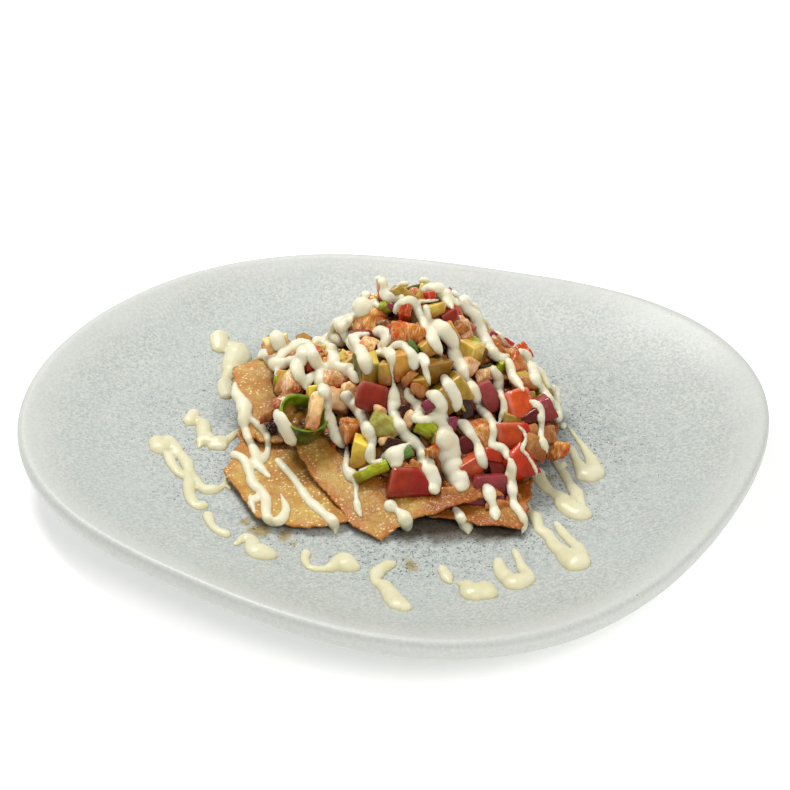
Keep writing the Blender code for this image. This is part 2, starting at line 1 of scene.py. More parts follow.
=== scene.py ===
"""The looks of a seafood tostada on a speckled stoneware plate.

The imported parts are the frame. Each is replaced by a finer piece of the same form. Everything is laid
out in millimetres and turned into metres at the end. +X is to the right of the front, +Y to the back
and +Z up.

Small things are placed by where they are seen from the front: a seen place is a pair, across and
down, on a square view of VIEW_SIZE steps, and it is carried along the line of sight to what lies there.
"""

import json
import math
import random

import bmesh
import bpy
import numpy as np
from mathutils import Matrix, Vector, noise
from mathutils.bvhtree import BVHTree

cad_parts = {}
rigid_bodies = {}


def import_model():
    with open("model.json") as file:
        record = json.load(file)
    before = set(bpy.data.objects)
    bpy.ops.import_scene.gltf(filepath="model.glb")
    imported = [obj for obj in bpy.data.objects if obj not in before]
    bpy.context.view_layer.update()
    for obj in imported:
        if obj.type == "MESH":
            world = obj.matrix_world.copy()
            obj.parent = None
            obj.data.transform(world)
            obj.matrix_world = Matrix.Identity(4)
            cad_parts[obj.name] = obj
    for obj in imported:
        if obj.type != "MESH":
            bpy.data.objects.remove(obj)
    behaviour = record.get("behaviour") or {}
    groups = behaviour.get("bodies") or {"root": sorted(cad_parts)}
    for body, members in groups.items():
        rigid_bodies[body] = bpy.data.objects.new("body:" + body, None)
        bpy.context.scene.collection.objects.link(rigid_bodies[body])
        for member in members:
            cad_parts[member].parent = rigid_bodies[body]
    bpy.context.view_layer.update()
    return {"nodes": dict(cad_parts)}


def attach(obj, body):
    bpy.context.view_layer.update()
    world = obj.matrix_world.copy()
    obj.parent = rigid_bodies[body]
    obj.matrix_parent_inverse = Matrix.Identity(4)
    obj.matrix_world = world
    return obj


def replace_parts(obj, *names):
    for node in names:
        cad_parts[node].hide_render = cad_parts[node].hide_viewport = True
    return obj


MM = 0.001
GAP = 0.4                                 # clearance between neighbouring solids

# The front view.
VIEW_SIZE = 790
LENS = 85
SENSOR = 36
VIEW_FOCAL = VIEW_SIZE * LENS / SENSOR
SIGHT_ELEVATION = math.radians(33)
SIGHT_AIM = Vector((0, 22.2, 20))
SIGHT_BACK = Vector((0, -math.cos(SIGHT_ELEVATION), math.sin(SIGHT_ELEVATION)))
SIGHT_RIGHT = Vector((1, 0, 0))
SIGHT_UP = SIGHT_BACK.cross(SIGHT_RIGHT)
SIGHT_DISTANCE = 725
EYE = SIGHT_AIM + SIGHT_BACK * SIGHT_DISTANCE
FAR_AWAY = SIGHT_DISTANCE + 120           # where nothing is seen
STEP = SIGHT_DISTANCE / VIEW_FOCAL        # one step of the view on the dish, in millimetres

# The plate, as in the frame, with a finer outline and profile.
PLATE_RADIUS = 134.4
PLATE_LOBES = ((2, 8.6, -16.5), (3, 4.9, 31.4), (4, 3.7, 18.2))
PLATE_FRAME_SEGMENTS = 54
PLATE_SEGMENTS = 300
PLATE_FLAT = 8.6                          # the height of the plate's floor
PLATE_HEIGHT = 24.0
PLATE_PROFILE = (
    (0.0, 8.0), (0.34, 8.0), (0.56, 8.3), (0.68, 10.2), (0.79, 13.7), (0.88, 18.0), (0.945, 22.0),
    (0.97, 23.6), (0.985, 24.0), (0.997, 23.0), (1.0, 20.5), (0.987, 16.4), (0.93, 12.6), (0.80, 7.4),
    (0.66, 3.4), (0.60, 1.4), (0.585, 0.0), (0.53, 0.0), (0.515, 2.6), (0.0, 2.6),
)
PROFILE_STEPS = 7
# Oil stains and a painted shadow on the plate: the seen middle, and how far each reaches across and down.
OIL_STAINS = ((258, 530, 12, 7), (284, 534, 9, 6), (411, 566, 7, 5), (294, 543, 3, 3), (545, 475, 5, 9),
              (246, 521, 6, 4))
# A painted shadow: a brown band on the glaze under the front sheets' edges, where their shade falls.
PAINTED_SHADOW_STAINS = ((412, 524, 30, 17), (446, 525, 38, 17), (486, 527, 36, 14), (508, 528, 20, 11))

# The fried sheets, as in the frame.
SHEET_THICKNESS = 2.0
SHEET_CELLS = 7
SHEET_FINE = 11
SHEET_RIPPLE = 1.6
# How far a sheet's sides are moved, in millimetres, at even steps along each: the first and the third side
# inwards, the second and the fourth outwards.
SHEET_TRIMS = {
    "crisp_front_left": ((0, 0), (-0.6, -2.6, -3.2, -3.0, -2.0, -2.4, 0.5),
                         (0.5, 4.2, 2.5, -1.2, 1.9, 3.0, 0.5), (0, 0)),
    "crisp_front": ((-2.0, -4.5, -1.2, 0.6, 2.2, 5.5, 8.0), (0, 0),
                    (-1.0, 1.8, 2.8, 0.8, 1.0, 1.0, -2.0), (0, 0)),
    "crisp_back_left": ((-6, -4.5, -2, -1.5, -1.5), (0, 0), (-9, -12, -10, 0), (0, 0)),
}
# How far the left and the near side hang lower, in millimetres.
SHEET_DROOP = {"crisp_front": (2.2, 0), "crisp_back_left": (0, 5)}
DROOP_REACH = 15
# How brown and wet a sheet is all over, from 0 to 1.
SHEET_SOAK = {"crisp_front_right": 0.75, "crisp_front": 0.2}
SAUCE_SHEET = "crisp_back_left"
SAUCE_PLACE = (271, 430)
SAUCE_REACH = (12, 9)
SHEETS = {
    "crisp_front_left": (((-61, 12, 13), (-50, -46, 11), (-14, -46, 11), (-12, 12, 12)), (7, 7, 2, 2)),
    "crisp_front_right": (((10, -43, 11), (45, -52, 11.5), (51, -19, 13), (14, -8, 11)), (1, 1, 1, 1)),
    "crisp_back": (((-52, 67, 20.5), (-56, 30, 12), (-12, 20, 11), (-14, 50, 15)), (1, 1, 1, 1)),
    "crisp_back_right": (((4, 24, 12), (50, 8, 12.5), (57, 54, 14), (8, 74, 14.5)), (1, 1, 1, 2)),
    "crisp_right": (((24, -16, 16), (60, -5, 16.5), (63, 32, 18), (20, 36, 17)), (1, 2, 1, 1)),
    "crisp_back_left": (((-54, 7, 18.5), (-6, 20, 25.5), (-8, 62, 24), (-63, 44, 19.5)), (1, 1, 1, 2)),
    "crisp_front": (((-4, -55, 12.5), (38, -36, 16), (0, 10, 24), (-47, -7, 19)), (1, 1, 1, 1)),
}

# The heap's outer form, as in the frame: each mound's middle, its reaches to the left, right, front and
# back, its height at the foot and at the top, and how blunt its top is.
MOUNDS = (
    ((8, 32), (46, 54, 74, 44), 14, 62, 0.30),
    ((-33, 26), (22, 30, 32, 30), 20, 38, 0.8),
    ((48, 8), (30, 20, 40, 38), 16, 37, 0.7),
)
MOUND_BLEND = 3.0
MOUND_RIM = 0.06
HEAP_MIDDLE = Vector((6, 20))
CORE_DEPTH = 7.5                          # how far the core lies under the heap's outer form
CORE_TURNS = 128
CORE_RINGS = 46
HIDDEN_PIECES = 34
HIDDEN_FROM = math.radians(-22)
HIDDEN_TO = math.radians(188)
HIDDEN_ROWS = (0.9, 0.66, 0.42)
HIDDEN_SIZE = (6.5, 10.5)
FILLER_BITS = 210
FILLER_TURN = 2.39996                     # a turn that never repeats, so that the bits spread evenly
FOOT_BITS = 34
FOOT_FROM = 18
FOOT_SPREAD = 125
FRONT_STAIN = (0.37, 0.25, 0.16)
BACK_STAIN = (0.74, 0.60, 0.48)
PEPPER_PLACE = (303, 414)

# Colours of the ingredients, as shown on a screen.
TINTS = {
    "cucumber": (208, 186, 82), "cucumber_shade": (190, 152, 56), "cucumber_pale": (232, 218, 140),
    "olive": (174, 146, 54), "mango": (236, 210, 76), "pale_gold": (240, 220, 140), "gold": (210, 158, 60),
    "tomato": (196, 78, 22), "tomato_red": (200, 60, 20), "tomato_dark": (140, 34, 14),
    "tomato_pale": (206, 92, 58), "tomato_deep": (152, 46, 18), "tuna": (160, 66, 70),
    "onion": (146, 62, 84), "onion_pale": (226, 176, 158), "maroon": (96, 20, 14),
    "shrimp": (240, 200, 150), "shrimp_warm": (228, 164, 92), "shrimp_red": (208, 88, 34),
    "shrimp_brown": (192, 126, 62), "squid": (232, 200, 148), "squid_brown": (186, 128, 72),
    "chip": (242, 206, 150), "scallion": (166, 182, 14), "scallion_deep": (92, 128, 54),
    "scallion_pale": (170, 172, 84), "skin_green": (54, 70, 16), "umber": (136, 100, 32),
    "soaked": (60, 27, 12),
}

# The pieces that are seen, a row each: form, tint, seen middle across and down, seen width and height,
# lean in degrees, turn about the upright axis in degrees, and how far it stands out in millimetres.
PIECES = """
shrimp shrimp_warm 366 317 30 36 12 20 0
shrimp shrimp 368 299 22 16 0 10 0
block cucumber_pale 351 326 14 18 10 10 0
squid squid 341 333 16 18 0 10 0
block shrimp_warm 381 287 9 26 -8 10 0
block olive 405 293 28 13 24 20 0
block tomato_red 431 293 9 10 0 30 -1
block cucumber 437 306 22 19 -8 25 0
strip tuna 449 298 4 20 18 0 1
block tomato_dark 453 315 19 20 -25 30 0
strip onion_pale 462 304 10 7 -40 0 0
shrimp shrimp_red 406 309 12 17 0 10 0
shrimp shrimp_warm 407 330 28 20 -10 10 0
shrimp shrimp 468 327 16 30 10 10 0
block gold 452 332 12 22 -30 20 0
strip onion 391 305 10 7 15 0 0
block cucumber 474 350 22 32 10 -35 0
squid squid 471 366 17 17 30 20 0
block onion_pale 455 377 14 10 20 20 -1
shrimp shrimp 486 374 22 10 -12 10 0
block cucumber 366 369 21 34 6 20 1
block cucumber_shade 385 373 17 29 3 -15 0
block gold 402 361 24 34 -10 25 1
squid squid_brown 408 377 18 9 -38 10 0
block umber 437 369 26 32 8 25 1
block cucumber_shade 421 381 22 20 -15 -20 0
block maroon 417 345 14 14 20 20 -2
strip scallion_deep 413 346 6 15 -35 0 0
block cucumber_shade 429 345 18 22 -30 20 0
shrimp shrimp 365 345 16 18 10 10 0
block onion 353 338 5 17 -30 0 0
shrimp shrimp_warm 346 354 14 12 0 10 0
block gold 340 362 16 9 10 20 0
block tomato 311 359 14 24 12 30 1
strip onion 321 353 5 18 -22 0 0
squid shrimp_warm 326 361 12 12 10 10 0
shrimp shrimp 289 377 27 30 -8 15 0
block pale_gold 277 343 25 20 -10 25 2
strip scallion 275 380 5 12 0 0 0
shrimp shrimp_red 286 390 18 9 20 10 0
shrimp shrimp 284 400 22 12 -25 10 0
block mango 311 391 9 12 0 20 0
shrimp shrimp_brown 307 400 12 10 20 10 -1
shrimp shrimp 337 378 22 13 12 10 0
shrimp shrimp 349 388 16 14 10 10 0
block gold 329 386 10 12 10 20 -1
squid squid 337 401 21 25 2 12 1
tomato tomato_deep 372 398 32 24 8 20 1
chip chip 316 420 13 36 12 10 13
chip chip 332 425 9 18 0 10 3
shrimp shrimp_brown 268 416 16 10 -20 10 0
shrimp shrimp_brown 347 428 20 28 -15 20 0
shrimp shrimp_brown 333 437 16 16 20 10 -1
scallion scallion_pale 381 427 29 24 27 20 1
block mango 360 450 19 32 10 -20 1
chip chip 381 411 14 8 10 10 1
chip chip 384 441 12 9 -20 10 0
scallion scallion 373 473 36 12 -30 0 2
scallion scallion_deep 402 456 24 12 -32 0 1
wedge tomato_deep 408 481 38 31 -6 10 1
shrimp shrimp_brown 407 466 20 12 5 10 0
block olive 452 393 28 36 -28 20 1
block cucumber 461 400 14 26 -30 -30 0
squid squid_brown 419 389 16 12 10 10 0
strip onion 431 405 19 12 -30 0 2
chip chip 408 419 10 16 25 10 0
scallion scallion 425 427 20 17 30 10 0
strip onion 453 423 9 16 12 0 -1
shrimp shrimp_warm 481 430 22 30 -20 10 1
block maroon 466 441 24 22 -20 20 -1
shrimp shrimp_brown 433 450 14 16 0 10 0
block cucumber_shade 438 437 14 18 20 20 -1
block tomato_pale 470 464 26 30 -18 20 0
block tuna 473 475 20 20 35 20 -1
tuna tuna 490 396 20 38 -28 12 1
block tomato_dark 471 396 8 26 -25 0 -2
tomato tomato 518 401 28 32 -15 20 1
block olive 513 420 18 10 15 20 0
block maroon 530 415 22 20 -30 20 0
tuna tuna 545 410 20 30 -25 15 1
tomato tomato 510 437 28 24 -5 15 1
tomato tomato_red 521 464 24 32 -35 20 1
block tomato_red 499 454 27 13 6 10 0
block tomato_dark 498 466 20 15 0 10 -2
tuna tuna 491 483 34 32 4 10 1
block onion 486 500 44 11 2 0 1
squid squid_brown 533 428 12 12 0 20 -1
squid squid_brown 552 433 18 18 5 15 0
squid squid_brown 534 446 20 20 20 15 0
shrimp shrimp_warm 560 449 18 20 20 10 1
shrimp shrimp_brown 519 364 19 25 -10 10 1
squid squid_brown 528 381 20 14 5 10 0
shrimp shrimp_red 524 348 15 20 -10 0 0
shrimp shrimp_warm 509 352 20 15 8 0 0
shrimp shrimp 515 349 16 12 10 0 0
shrimp shrimp_brown 501 350 16 14 -30 0 0
strip onion 494 335 10 9 -50 0 0
block skin_green 488 367 12 8 0 0 0
strip scallion_deep 535 366 6 20 -40 0 -1
block olive 528 392 18 8 5 10 -1
squid squid_brown 500 506 30 12 5 10 0
shrimp shrimp_brown 515 500 16 20 10 10 0
squid squid_brown 452 492 26 12 -5 10 -1
squid squid_brown 418 468 20 14 20 10 -1
block tomato_dark 352 462 12 12 0 10 -1
block soaked 467 408 13 24 -10 20 0
block soaked 392 445 18 14 10 10 0
block soaked 404 408 10 8 0 10 0
"""

# Cream strands, parted by ;. Each is the seen places that it runs through, with its width in steps of
# the view.
HEAP_CREAM = """
259 357 7, 264 354 9, 270 360 11, 276 365 12, 277 370 5, 275 375 3; 266 355 8, 277 359 8, 284 354 11,
292 349 12, 300 344 12, 306 344 8; 303 350 12, 302 358 13, 297 365 13, 298 373 13, 301 381 8, 303 385 4;
281 366 8, 288 362 9, 296 360 10; 307 343 8, 311 350 10, 314 358 12, 318 365 10, 324 368 6; 315 343 6,
322 341 10, 327 345 8; 328 337 9, 335 339 12, 342 343 9; 331 348 11, 332 355 14, 334 361 12, 330 367 8;
325 367 8, 334 367 10, 344 368 9, 350 371 13, 355 376 12, 357 380 7; 320 373 10, 321 381 12, 324 391 12,
326 401 12, 328 412 8, 330 420 10, 333 428 9, 337 436 12, 341 443 8, 344 447 3; 314 376 9, 308 380 10,
305 385 8, 306 389 4; 335 325 9, 343 330 9, 347 338 9, 352 345 9, 357 351 8; 352 337 6, 360 335 6,
368 334 5; 277 413 8, 281 419 12, 286 428 13, 290 437 12, 293 443 7; 382 279 8, 384 286 9, 387 294 11,
394 298 9, 402 298 7; 364 294 7, 367 295 8; 359 305 15, 363 308 18, 367 306 14; 374 301 6, 378 306 6;
396 311 7, 400 304 7, 408 300 8, 414 303 9, 418 310 9, 421 317 8, 424 324 9, 425 330 4; 423 290 6,
430 287 8, 438 288 11, 444 296 11, 449 304 8, 453 309 3; 447 289 4, 452 296 8, 457 304 7; 421 301 4,
430 301 4, 438 300 3; 426 307 6, 428 315 6, 430 320 4; 374 333 6, 381 332 12, 387 336 13, 386 343 10,
379 347 5; 351 337 7, 357 344 10, 361 352 12, 365 361 13, 367 369 10, 367 373 5; 377 353 6, 384 353 10,
390 354 12, 392 361 7, 392 369 4, 393 378 3, 394 386 5, 394 394 10, 394 403 12, 393 412 10, 397 420 10,
401 428 11, 406 436 11, 414 442 10, 420 449 10, 423 456 12, 426 464 14, 430 473 15, 433 482 15,
434 490 11; 390 350 5, 396 345 7, 402 345 8, 408 350 8, 412 356 10, 414 363 12, 414 368 6; 432 325 10,
439 327 14, 447 334 14, 453 343 12, 454 352 11, 457 361 14, 462 369 12, 466 377 6; 428 331 9, 433 340 12,
438 349 9, 441 356 3; 421 355 6, 425 361 9, 426 370 7, 428 378 5, 430 385 3; 346 396 12, 350 400 12,
355 407 10, 361 415 10, 365 424 11, 370 434 11, 372 441 9, 371 449 9, 370 457 9, 374 463 6, 381 461 5;
383 458 6, 389 455 11, 395 456 15, 396 464 11; 396 453 10, 402 448 7, 409 444 4; 407 389 5, 409 395 9,
411 402 5; 414 400 5, 418 407 12, 420 413 11, 414 420 6, 425 420 7, 436 418 12; 429 394 7, 436 397 12,
441 405 12, 439 415 14, 441 424 17, 444 434 18, 447 444 20, 449 455 22, 452 466 20, 457 476 19,
461 484 16, 460 488 11; 444 378 8, 449 386 11, 454 394 11, 457 402 10, 456 410 5; 463 303 8, 470 307 11,
475 316 11, 479 327 12, 484 338 12, 490 348 11, 496 356 10, 503 358 9, 508 356 5; 508 361 7, 511 369 9,
513 377 9, 518 383 8, 523 390 4; 520 352 7, 526 355 9, 529 363 9, 533 372 10, 536 381 10, 541 389 9,
547 396 8, 553 403 8, 558 411 9, 562 418 9, 564 423 5; 540 361 5, 546 366 9, 549 375 7, 552 384 7,
557 392 10, 560 399 7, 560 406 3; 493 370 8, 497 377 11, 498 385 11, 500 393 7, 504 401 7, 505 409 8,
502 417 6, 499 423 3; 467 380 7, 472 387 10, 476 396 10, 479 406 9, 485 414 9, 491 422 9, 494 431 8,
492 440 7, 493 446 8, 500 447 8, 505 451 8, 507 457 6; 459 422 6, 465 426 11, 470 433 9, 476 441 7,
479 450 9, 481 458 10, 484 466 8; 511 461 6, 512 470 10, 510 479 11, 512 488 10, 513 497 7, 514 505 8,
519 511 8, 523 518 8, 524 526 7, 522 533 3; 486 487 8, 489 492 12, 491 500 8, 494 508 8, 495 514 10,
496 520 4; 531 402 5, 536 405 9, 540 412 9, 541 420 7, 541 429 6, 541 437 6, 544 445 8, 546 452 4;
518 426 3, 524 432 4, 526 440 4, 522 449 5, 527 455 4, 532 463 4, 536 471 4, 535 477 3; 360 471 4,
367 468 3; 276 334 9, 277 339 14, 279 346 13
"""
SHEET_CREAM = """
229 384 5, 236 394 9, 243 404 14, 245 413 13, 244 423 10, 247 434 7, 252 446 8, 256 456 10, 257 463 10,
262 470 8, 269 477 5; 249 418 6, 258 425 7, 266 434 7, 268 444 6, 267 454 7, 261 461 9; 233 455 8,
240 457 8, 246 463 9, 250 474 9, 253 484 10, 261 492 10, 266 501 10, 266 511 9, 268 519 9, 274 522 8,
281 520 9, 285 514 9, 286 508 8, 283 500 5, 281 495 3; 260 495 6, 254 501 8, 250 498 5, 251 494 2;
251 503 7, 253 508 5, 255 514 3; 278 461 7, 284 468 7, 293 478 7, 301 490 8, 309 501 9, 318 509 10,
326 516 8, 333 522 11, 335 528 7, 335 534 3; 347 447 4, 347 460 7, 347 469 9, 352 476 11, 356 483 6,
356 495 5, 358 509 7, 361 517 3; 390 506 12, 397 511 6, 404 517 12, 406 523 12, 408 531 3; 455 509 6,
459 515 9, 463 522 10, 467 527 10, 468 534 3
"""
PLATE_CREAM = """
219 338 19, 220 349 15; 219 347 9, 230 346 9, 238 352 20; 238 356 27, 233 368 21, 226 380 10, 225 386 16,
227 396 13; 194 414 12, 190 422 14, 195 420 9, 203 425 13, 204 434 14, 208 441 15, 218 444 15, 228 440 9,
239 431 5; 201 441 10, 199 448 4; 212 447 9, 222 447 12; 157 443 17, 161 450 17, 168 444 17, 174 449 14,
180 455 10, 187 464 12, 190 473 9, 198 483 8, 204 490 10, 211 491 12, 219 489 7, 224 485 5, 226 477 4;
168 456 9, 174 468 9, 181 475 9, 188 478 10, 189 487 11, 190 497 11, 196 506 10, 203 507 10; 226 484 6,
230 489 5; 208 516 10, 211 524 8, 217 531 8, 226 535 10; 235 545 5, 244 539 9, 252 542 12, 254 551 17,
261 555 21, 270 556 14; 306 554 9, 305 561 8, 310 568 7, 323 570 7, 333 568 12, 343 563 19, 348 567 19,
355 568 11; 394 564 6, 386 567 11, 377 574 12, 376 583 9, 384 587 12, 390 595 16, 397 605 17, 406 609 12;
442 569 8, 446 576 11, 450 583 5; 459 584 5, 468 588 14, 471 594 18, 478 595 22, 486 588 14, 487 595 17;
498 562 9, 501 572 13, 508 580 15, 516 585 19, 524 582 18, 528 577 12, 522 568 9, 519 560 8, 514 551 5;
526 500 4, 529 511 7, 536 519 11, 540 530 10, 548 536 11, 555 547 12, 564 554 14, 569 560 20, 578 565 24;
556 524 6, 562 532 9, 570 541 8, 578 549 12, 580 557 16; 537 474 14, 541 482 12, 547 489 10, 553 494 9,
562 500 14, 566 507 18, 577 514 20, 586 516 13; 552 448 7, 553 459 6, 559 468 7, 565 476 8, 570 485 9,
577 495 12, 581 504 9, 580 511 12; 563 465 8, 560 470 6; 568 426 3, 574 435 5, 581 444 6, 587 453 8,
592 462 12, 595 473 17, 590 477 20; 571 449 8, 576 460 9, 580 468 11, 585 476 16
"""
CREAM_CELL = 0.5
CREAM_STEP = 1.1                          # how far apart the balls of a strand are, in steps of the view
BACK_RUNS = 6
BACK_FROM = 42
BACK_SPREAD = 94
DOUBLED_FROM = 1.1                        # strands this wide have balls at their sides too
FOOD_VIEW = (215, 262, 600, 545)
PLATE_VIEW = (140, 325, 615, 625)
PLATE_TOP = 13
HEAP_BACK = 80
HOLD_REACH = 15


# --- helpers ------------------------------------------------------------------------------------------

def colour(red, green, blue):
    """A screen colour as linear light."""
    return tuple((c / 255 / 12.92) if c <= 10 else ((c / 255 + 0.055) / 1.055) ** 2.4
                 for c in (red, green, blue))


def field(points, size, seed=0.0):
    """Smooth noise from -1 to 1 at each point, with lumps of a size."""
    shift = Vector((seed * 7.3, seed * 3.1, seed * 5.7))
    return np.array([noise.noise(Vector(point) / size + shift) for point in points])


def smooth(value, low, high):
    share = np.clip((value - low) / (high - low), 0, 1)
    return share * share * (3 - 2 * share)


def spline_weights(count, steps):
    """Weights that turn count points of a line into a smooth line with steps between each two."""
    places = np.linspace(0, count - 1, (count - 1) * steps + 1)
    weights = np.zeros((len(places), count))
    for row, place in enumerate(places):
        first = min(int(place), count - 2)
        t = place - first
        shares = (-0.5 * t + t * t - 0.5 * t ** 3, 1 - 2.5 * t * t + 1.5 * t ** 3,
                  0.5 * t + 2 * t * t - 1.5 * t ** 3, -0.5 * t * t + 0.5 * t ** 3)
        for index, share in zip(range(first - 1, first + 3), shares):
            if index < 0:
                weights[row, 0] += 2 * share
                weights[row, 1] -= share
            elif index >= count:
                weights[row, count - 1] += 2 * share
                weights[row, count - 2] -= share
            else:
                weights[row, index] += share
    return weights


def even_line(points, spacing):
    """A smooth line through the points, with points at even spacing."""
    line = spline_weights(len(points), 12) @ np.array(points, float)
    lengths = np.concatenate(([0], np.cumsum(np.linalg.norm(np.diff(line, axis=0), axis=1))))
    count = max(int(lengths[-1] / spacing), 1) + 1
    wanted = np.linspace(0, lengths[-1], count)
    return np.stack([np.interp(wanted, lengths, line[:, i]) for i in range(line.shape[1])], axis=1)


def grid_points(xs, ys, zs):
    return np.stack([xs, ys, zs], axis=-1).reshape(-1, 3)


def grid_faces(rows, columns, closed=False):
    """Quads between the points of a grid, whose rows may close on themselves."""
    return [(i * columns + j, i * columns + (j + 1) % columns, (i + 1) * columns + (j + 1) % columns,
             (i + 1) * columns + j)
            for i in range(rows - 1) for j in range(columns if closed else columns - 1)]


def add_object(name, data):
    made = bpy.data.objects.new(name, data)
    bpy.context.scene.collection.objects.link(made)
    return made


def show(name, mesh, material):
    """A piece of the dish, in one material."""
    piece = add_object(name, mesh)
    mesh.materials.clear()
    mesh.materials.append(material)
    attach(piece, "root")
    return piece


class Form:
    """Points, faces and values at the points, gathered from many small shapes."""

    # The kind of a value and the name of its field, by how many numbers it has.
    KINDS = {1: ("FLOAT", "value"), 3: ("FLOAT_VECTOR", "vector"), 4: ("FLOAT_COLOR", "color")}

    def __init__(self):
        self.points = []
        self.faces = []
        self.values = {}
        self.count = 0

    def add(self, points, faces, **values):
        points = np.asarray(points, float)
        self.points.append(points)
        self.faces.extend(tuple(int(i) + self.count for i in face) for face in faces)
        for name, value in values.items():
            value = np.asarray(value, float)
            if len(value) != len(points):
                value = np.tile(value, (len(points), 1))
            self.values.setdefault(name, []).append(value)
        self.count += len(points)

    def tree(self):
        return BVHTree.FromPolygons(np.concatenate(self.points).tolist(), self.faces)

    def make(self, name, material, slot):
        mesh = bpy.data.meshes.new(name)
        mesh.from_pydata((np.concatenate(self.points) * MM).tolist(), [], self.faces)
        for key, value in self.values.items():
            value = np.concatenate(value)
            kind, field_name = self.KINDS[value.size // len(value)]
            layer = mesh.attributes.new(key, kind, "POINT")
            layer.data.foreach_set(field_name, value.astype(np.float32).ravel())
        mesh.shade_smooth()
        return show(name, mesh, material)


# --- the front view -----------------------------------------------------------------------------------

def sight_line(place):
    """The way from the eye to a seen place."""
    across = (place[0] - VIEW_SIZE / 2) / VIEW_FOCAL
    down = (place[1] - VIEW_SIZE / 2) / VIEW_FOCAL
    return (SIGHT_RIGHT * across - SIGHT_UP * down - SIGHT_BACK).normalized()


def seen_places(points):
    """Where points are seen from the front, as rows of across and down."""
    away = points - np.array(EYE)
    depth = -away @ np.array(SIGHT_BACK)
    return np.stack([VIEW_SIZE / 2 + VIEW_FOCAL * away[:, 0] / depth,
                     VIEW_SIZE / 2 - VIEW_FOCAL * (away @ np.array(SIGHT_UP)) / depth], axis=1)


def turn_to(right, up, facing):
    return Matrix((right, up, facing)).transposed().to_4x4()


def facing_turn(facing):
    """The right and the up of a piece that faces a way, and the turn to them."""
    right = Vector((0, 0, 1)).cross(facing).normalized()
    up = facing.cross(right)
    return right, up, turn_to(right, up, facing)


class Ground:
    """The upper side of all that is laid so far, and what is seen of it from the front."""

    def __init__(self, trees):
        self.trees = trees

    def height(self, x, y, reach=0.0):
        offsets = [(0, 0)]
        if reach:
            offsets = [(i * reach / 2, j * reach / 2) for i in range(-2, 3) for j in range(-2, 3)]
        best = 0.0
        for dx, dy in offsets:
            for tree in self.trees:
                hit = tree.ray_cast(Vector((x + dx, y + dy, 200)), Vector((0, 0, -1)))[0]
                if hit and hit.z > best:
                    best = hit.z
        return best

    def distance(self, place):
        """How far away the nearest thing at a seen place is."""
        hits = [tree.ray_cast(EYE, sight_line(place))[3] for tree in self.trees]
        return min((hit for hit in hits if hit), default=FAR_AWAY)

    def seen_on_mound(self, place):
        """The point of the heap's outer form at a seen place, or the nearest to it."""
        way = sight_line(place)
        far = self.distance(place)
        closest = (math.inf, None)
        for step in range(400):
            point = EYE + way * (far - 200 + step * 0.5)
            above = point.z - mound_height(point.x, point.y)
            if above <= 0:
                return point
            closest = min(closest, (above, point), key=lambda pair: pair[0])
        return closest[1]


def frame_tree(name):
    mesh = bpy.data.objects[name].data
    points = [vert.co / MM for vert in mesh.vertices]
    return BVHTree.FromPolygons(points, [tuple(face.vertices) for face in mesh.polygons])


# --- materials ----------------------------------------------------------------------------------------

class Shader:
    """A material's nodes, made one call at a time. A colour is given as on a screen."""

    def __init__(self, name, **sockets):
        self.material = bpy.data.materials.new(name)
        self.material.use_nodes = True
        self.tree = self.material.node_tree
        self.surface = self.tree.nodes["Principled BSDF"]
        self.place = self.add("TexCoord", "Object")
        self.set(**sockets)

    def plug(self, socket, value):
        if isinstance(value, bpy.types.NodeSocket):
            self.tree.links.new(value, socket)
        elif isinstance(value, tuple) and len(value) == 3 and socket.type == "RGBA":
            socket.default_value = (*colour(*value), 1)
        else:
            socket.default_value = value

    def add(self, kind, output, inputs=(), **settings):
        """A node of a kind, with pairs of an input and what goes in. Returns one of its outputs."""
        made = self.tree.nodes.new("ShaderNode" + kind)
        for name, value in settings.items():
            setattr(made, name, value)
        for name, value in inputs:
            self.plug(made.inputs[name], value)
        return made.outputs[output]

    def set(self, **sockets):
        for name, value in sockets.items():
            self.plug(self.surface.inputs[name.replace("_", " ")], value)

    def scaled(self, vector, x, y=None, z=None):
        return self.add("VectorMath", 0, ((0, vector), (1, (x, y or x, z or x))), operation="MULTIPLY")

    def millimetres(self):
        return self.scaled(self.place, 1 / MM)

    def attribute(self, name, output="Fac"):
        return self.add("Attribute", output, attribute_name=name)

    def noise(self, vector, size, detail=2.0, rough=0.5, warp=0.0):
        """Smooth noise whose lumps have a size, in the units of the vector."""
        return self.add("TexNoise", "Fac", (("Vector", vector), ("Scale", 1 / size), ("Detail", detail),
                                            ("Roughness", rough), ("Distortion", warp)))

    def cells(self, vector, size, output="Distance"):
        return self.add("TexVoronoi", output, (("Vector", vector), ("Scale", 1 / size)))

    def math(self, operation, first, second):
        return self.add("Math", 0, ((0, first), (1, second)), operation=operation)

    def times(self, first, second):
        return self.math("MULTIPLY", first, second)

    def span(self, value, low, high, out_low=0.0, out_high=1.0):
        return self.add("MapRange", 0, (("Value", value), ("From Min", low), ("From Max", high),
                                        ("To Min", out_low), ("To Max", out_high)),
                        interpolation_type="SMOOTHSTEP")

    def mix(self, share, first, second, blend="MIX"):
        return self.add("Mix", 2, (("Factor", share), (6, first), (7, second)),
                        data_type="RGBA", blend_type=blend)

    # Multiplies a colour by a tint, for real stains and for painted shade alike.
    def stained_or_shaded(self, base, tint, share=1.0):
        return self.mix(share, base, tint, "MULTIPLY")

    def shift(self, tint, saturation=1.0, value=1.0):
        return self.add("HueSaturation", 0, (("Saturation", saturation), ("Value", value), ("Color", tint)))

    def relief(self, height, depth, *under):
        """Bump whose full height is a depth in millimetres, over another relief."""
        return self.add("Bump", 0, (("Height", height), ("Distance", depth * MM),
                                    *(("Normal", normal) for normal in under)))


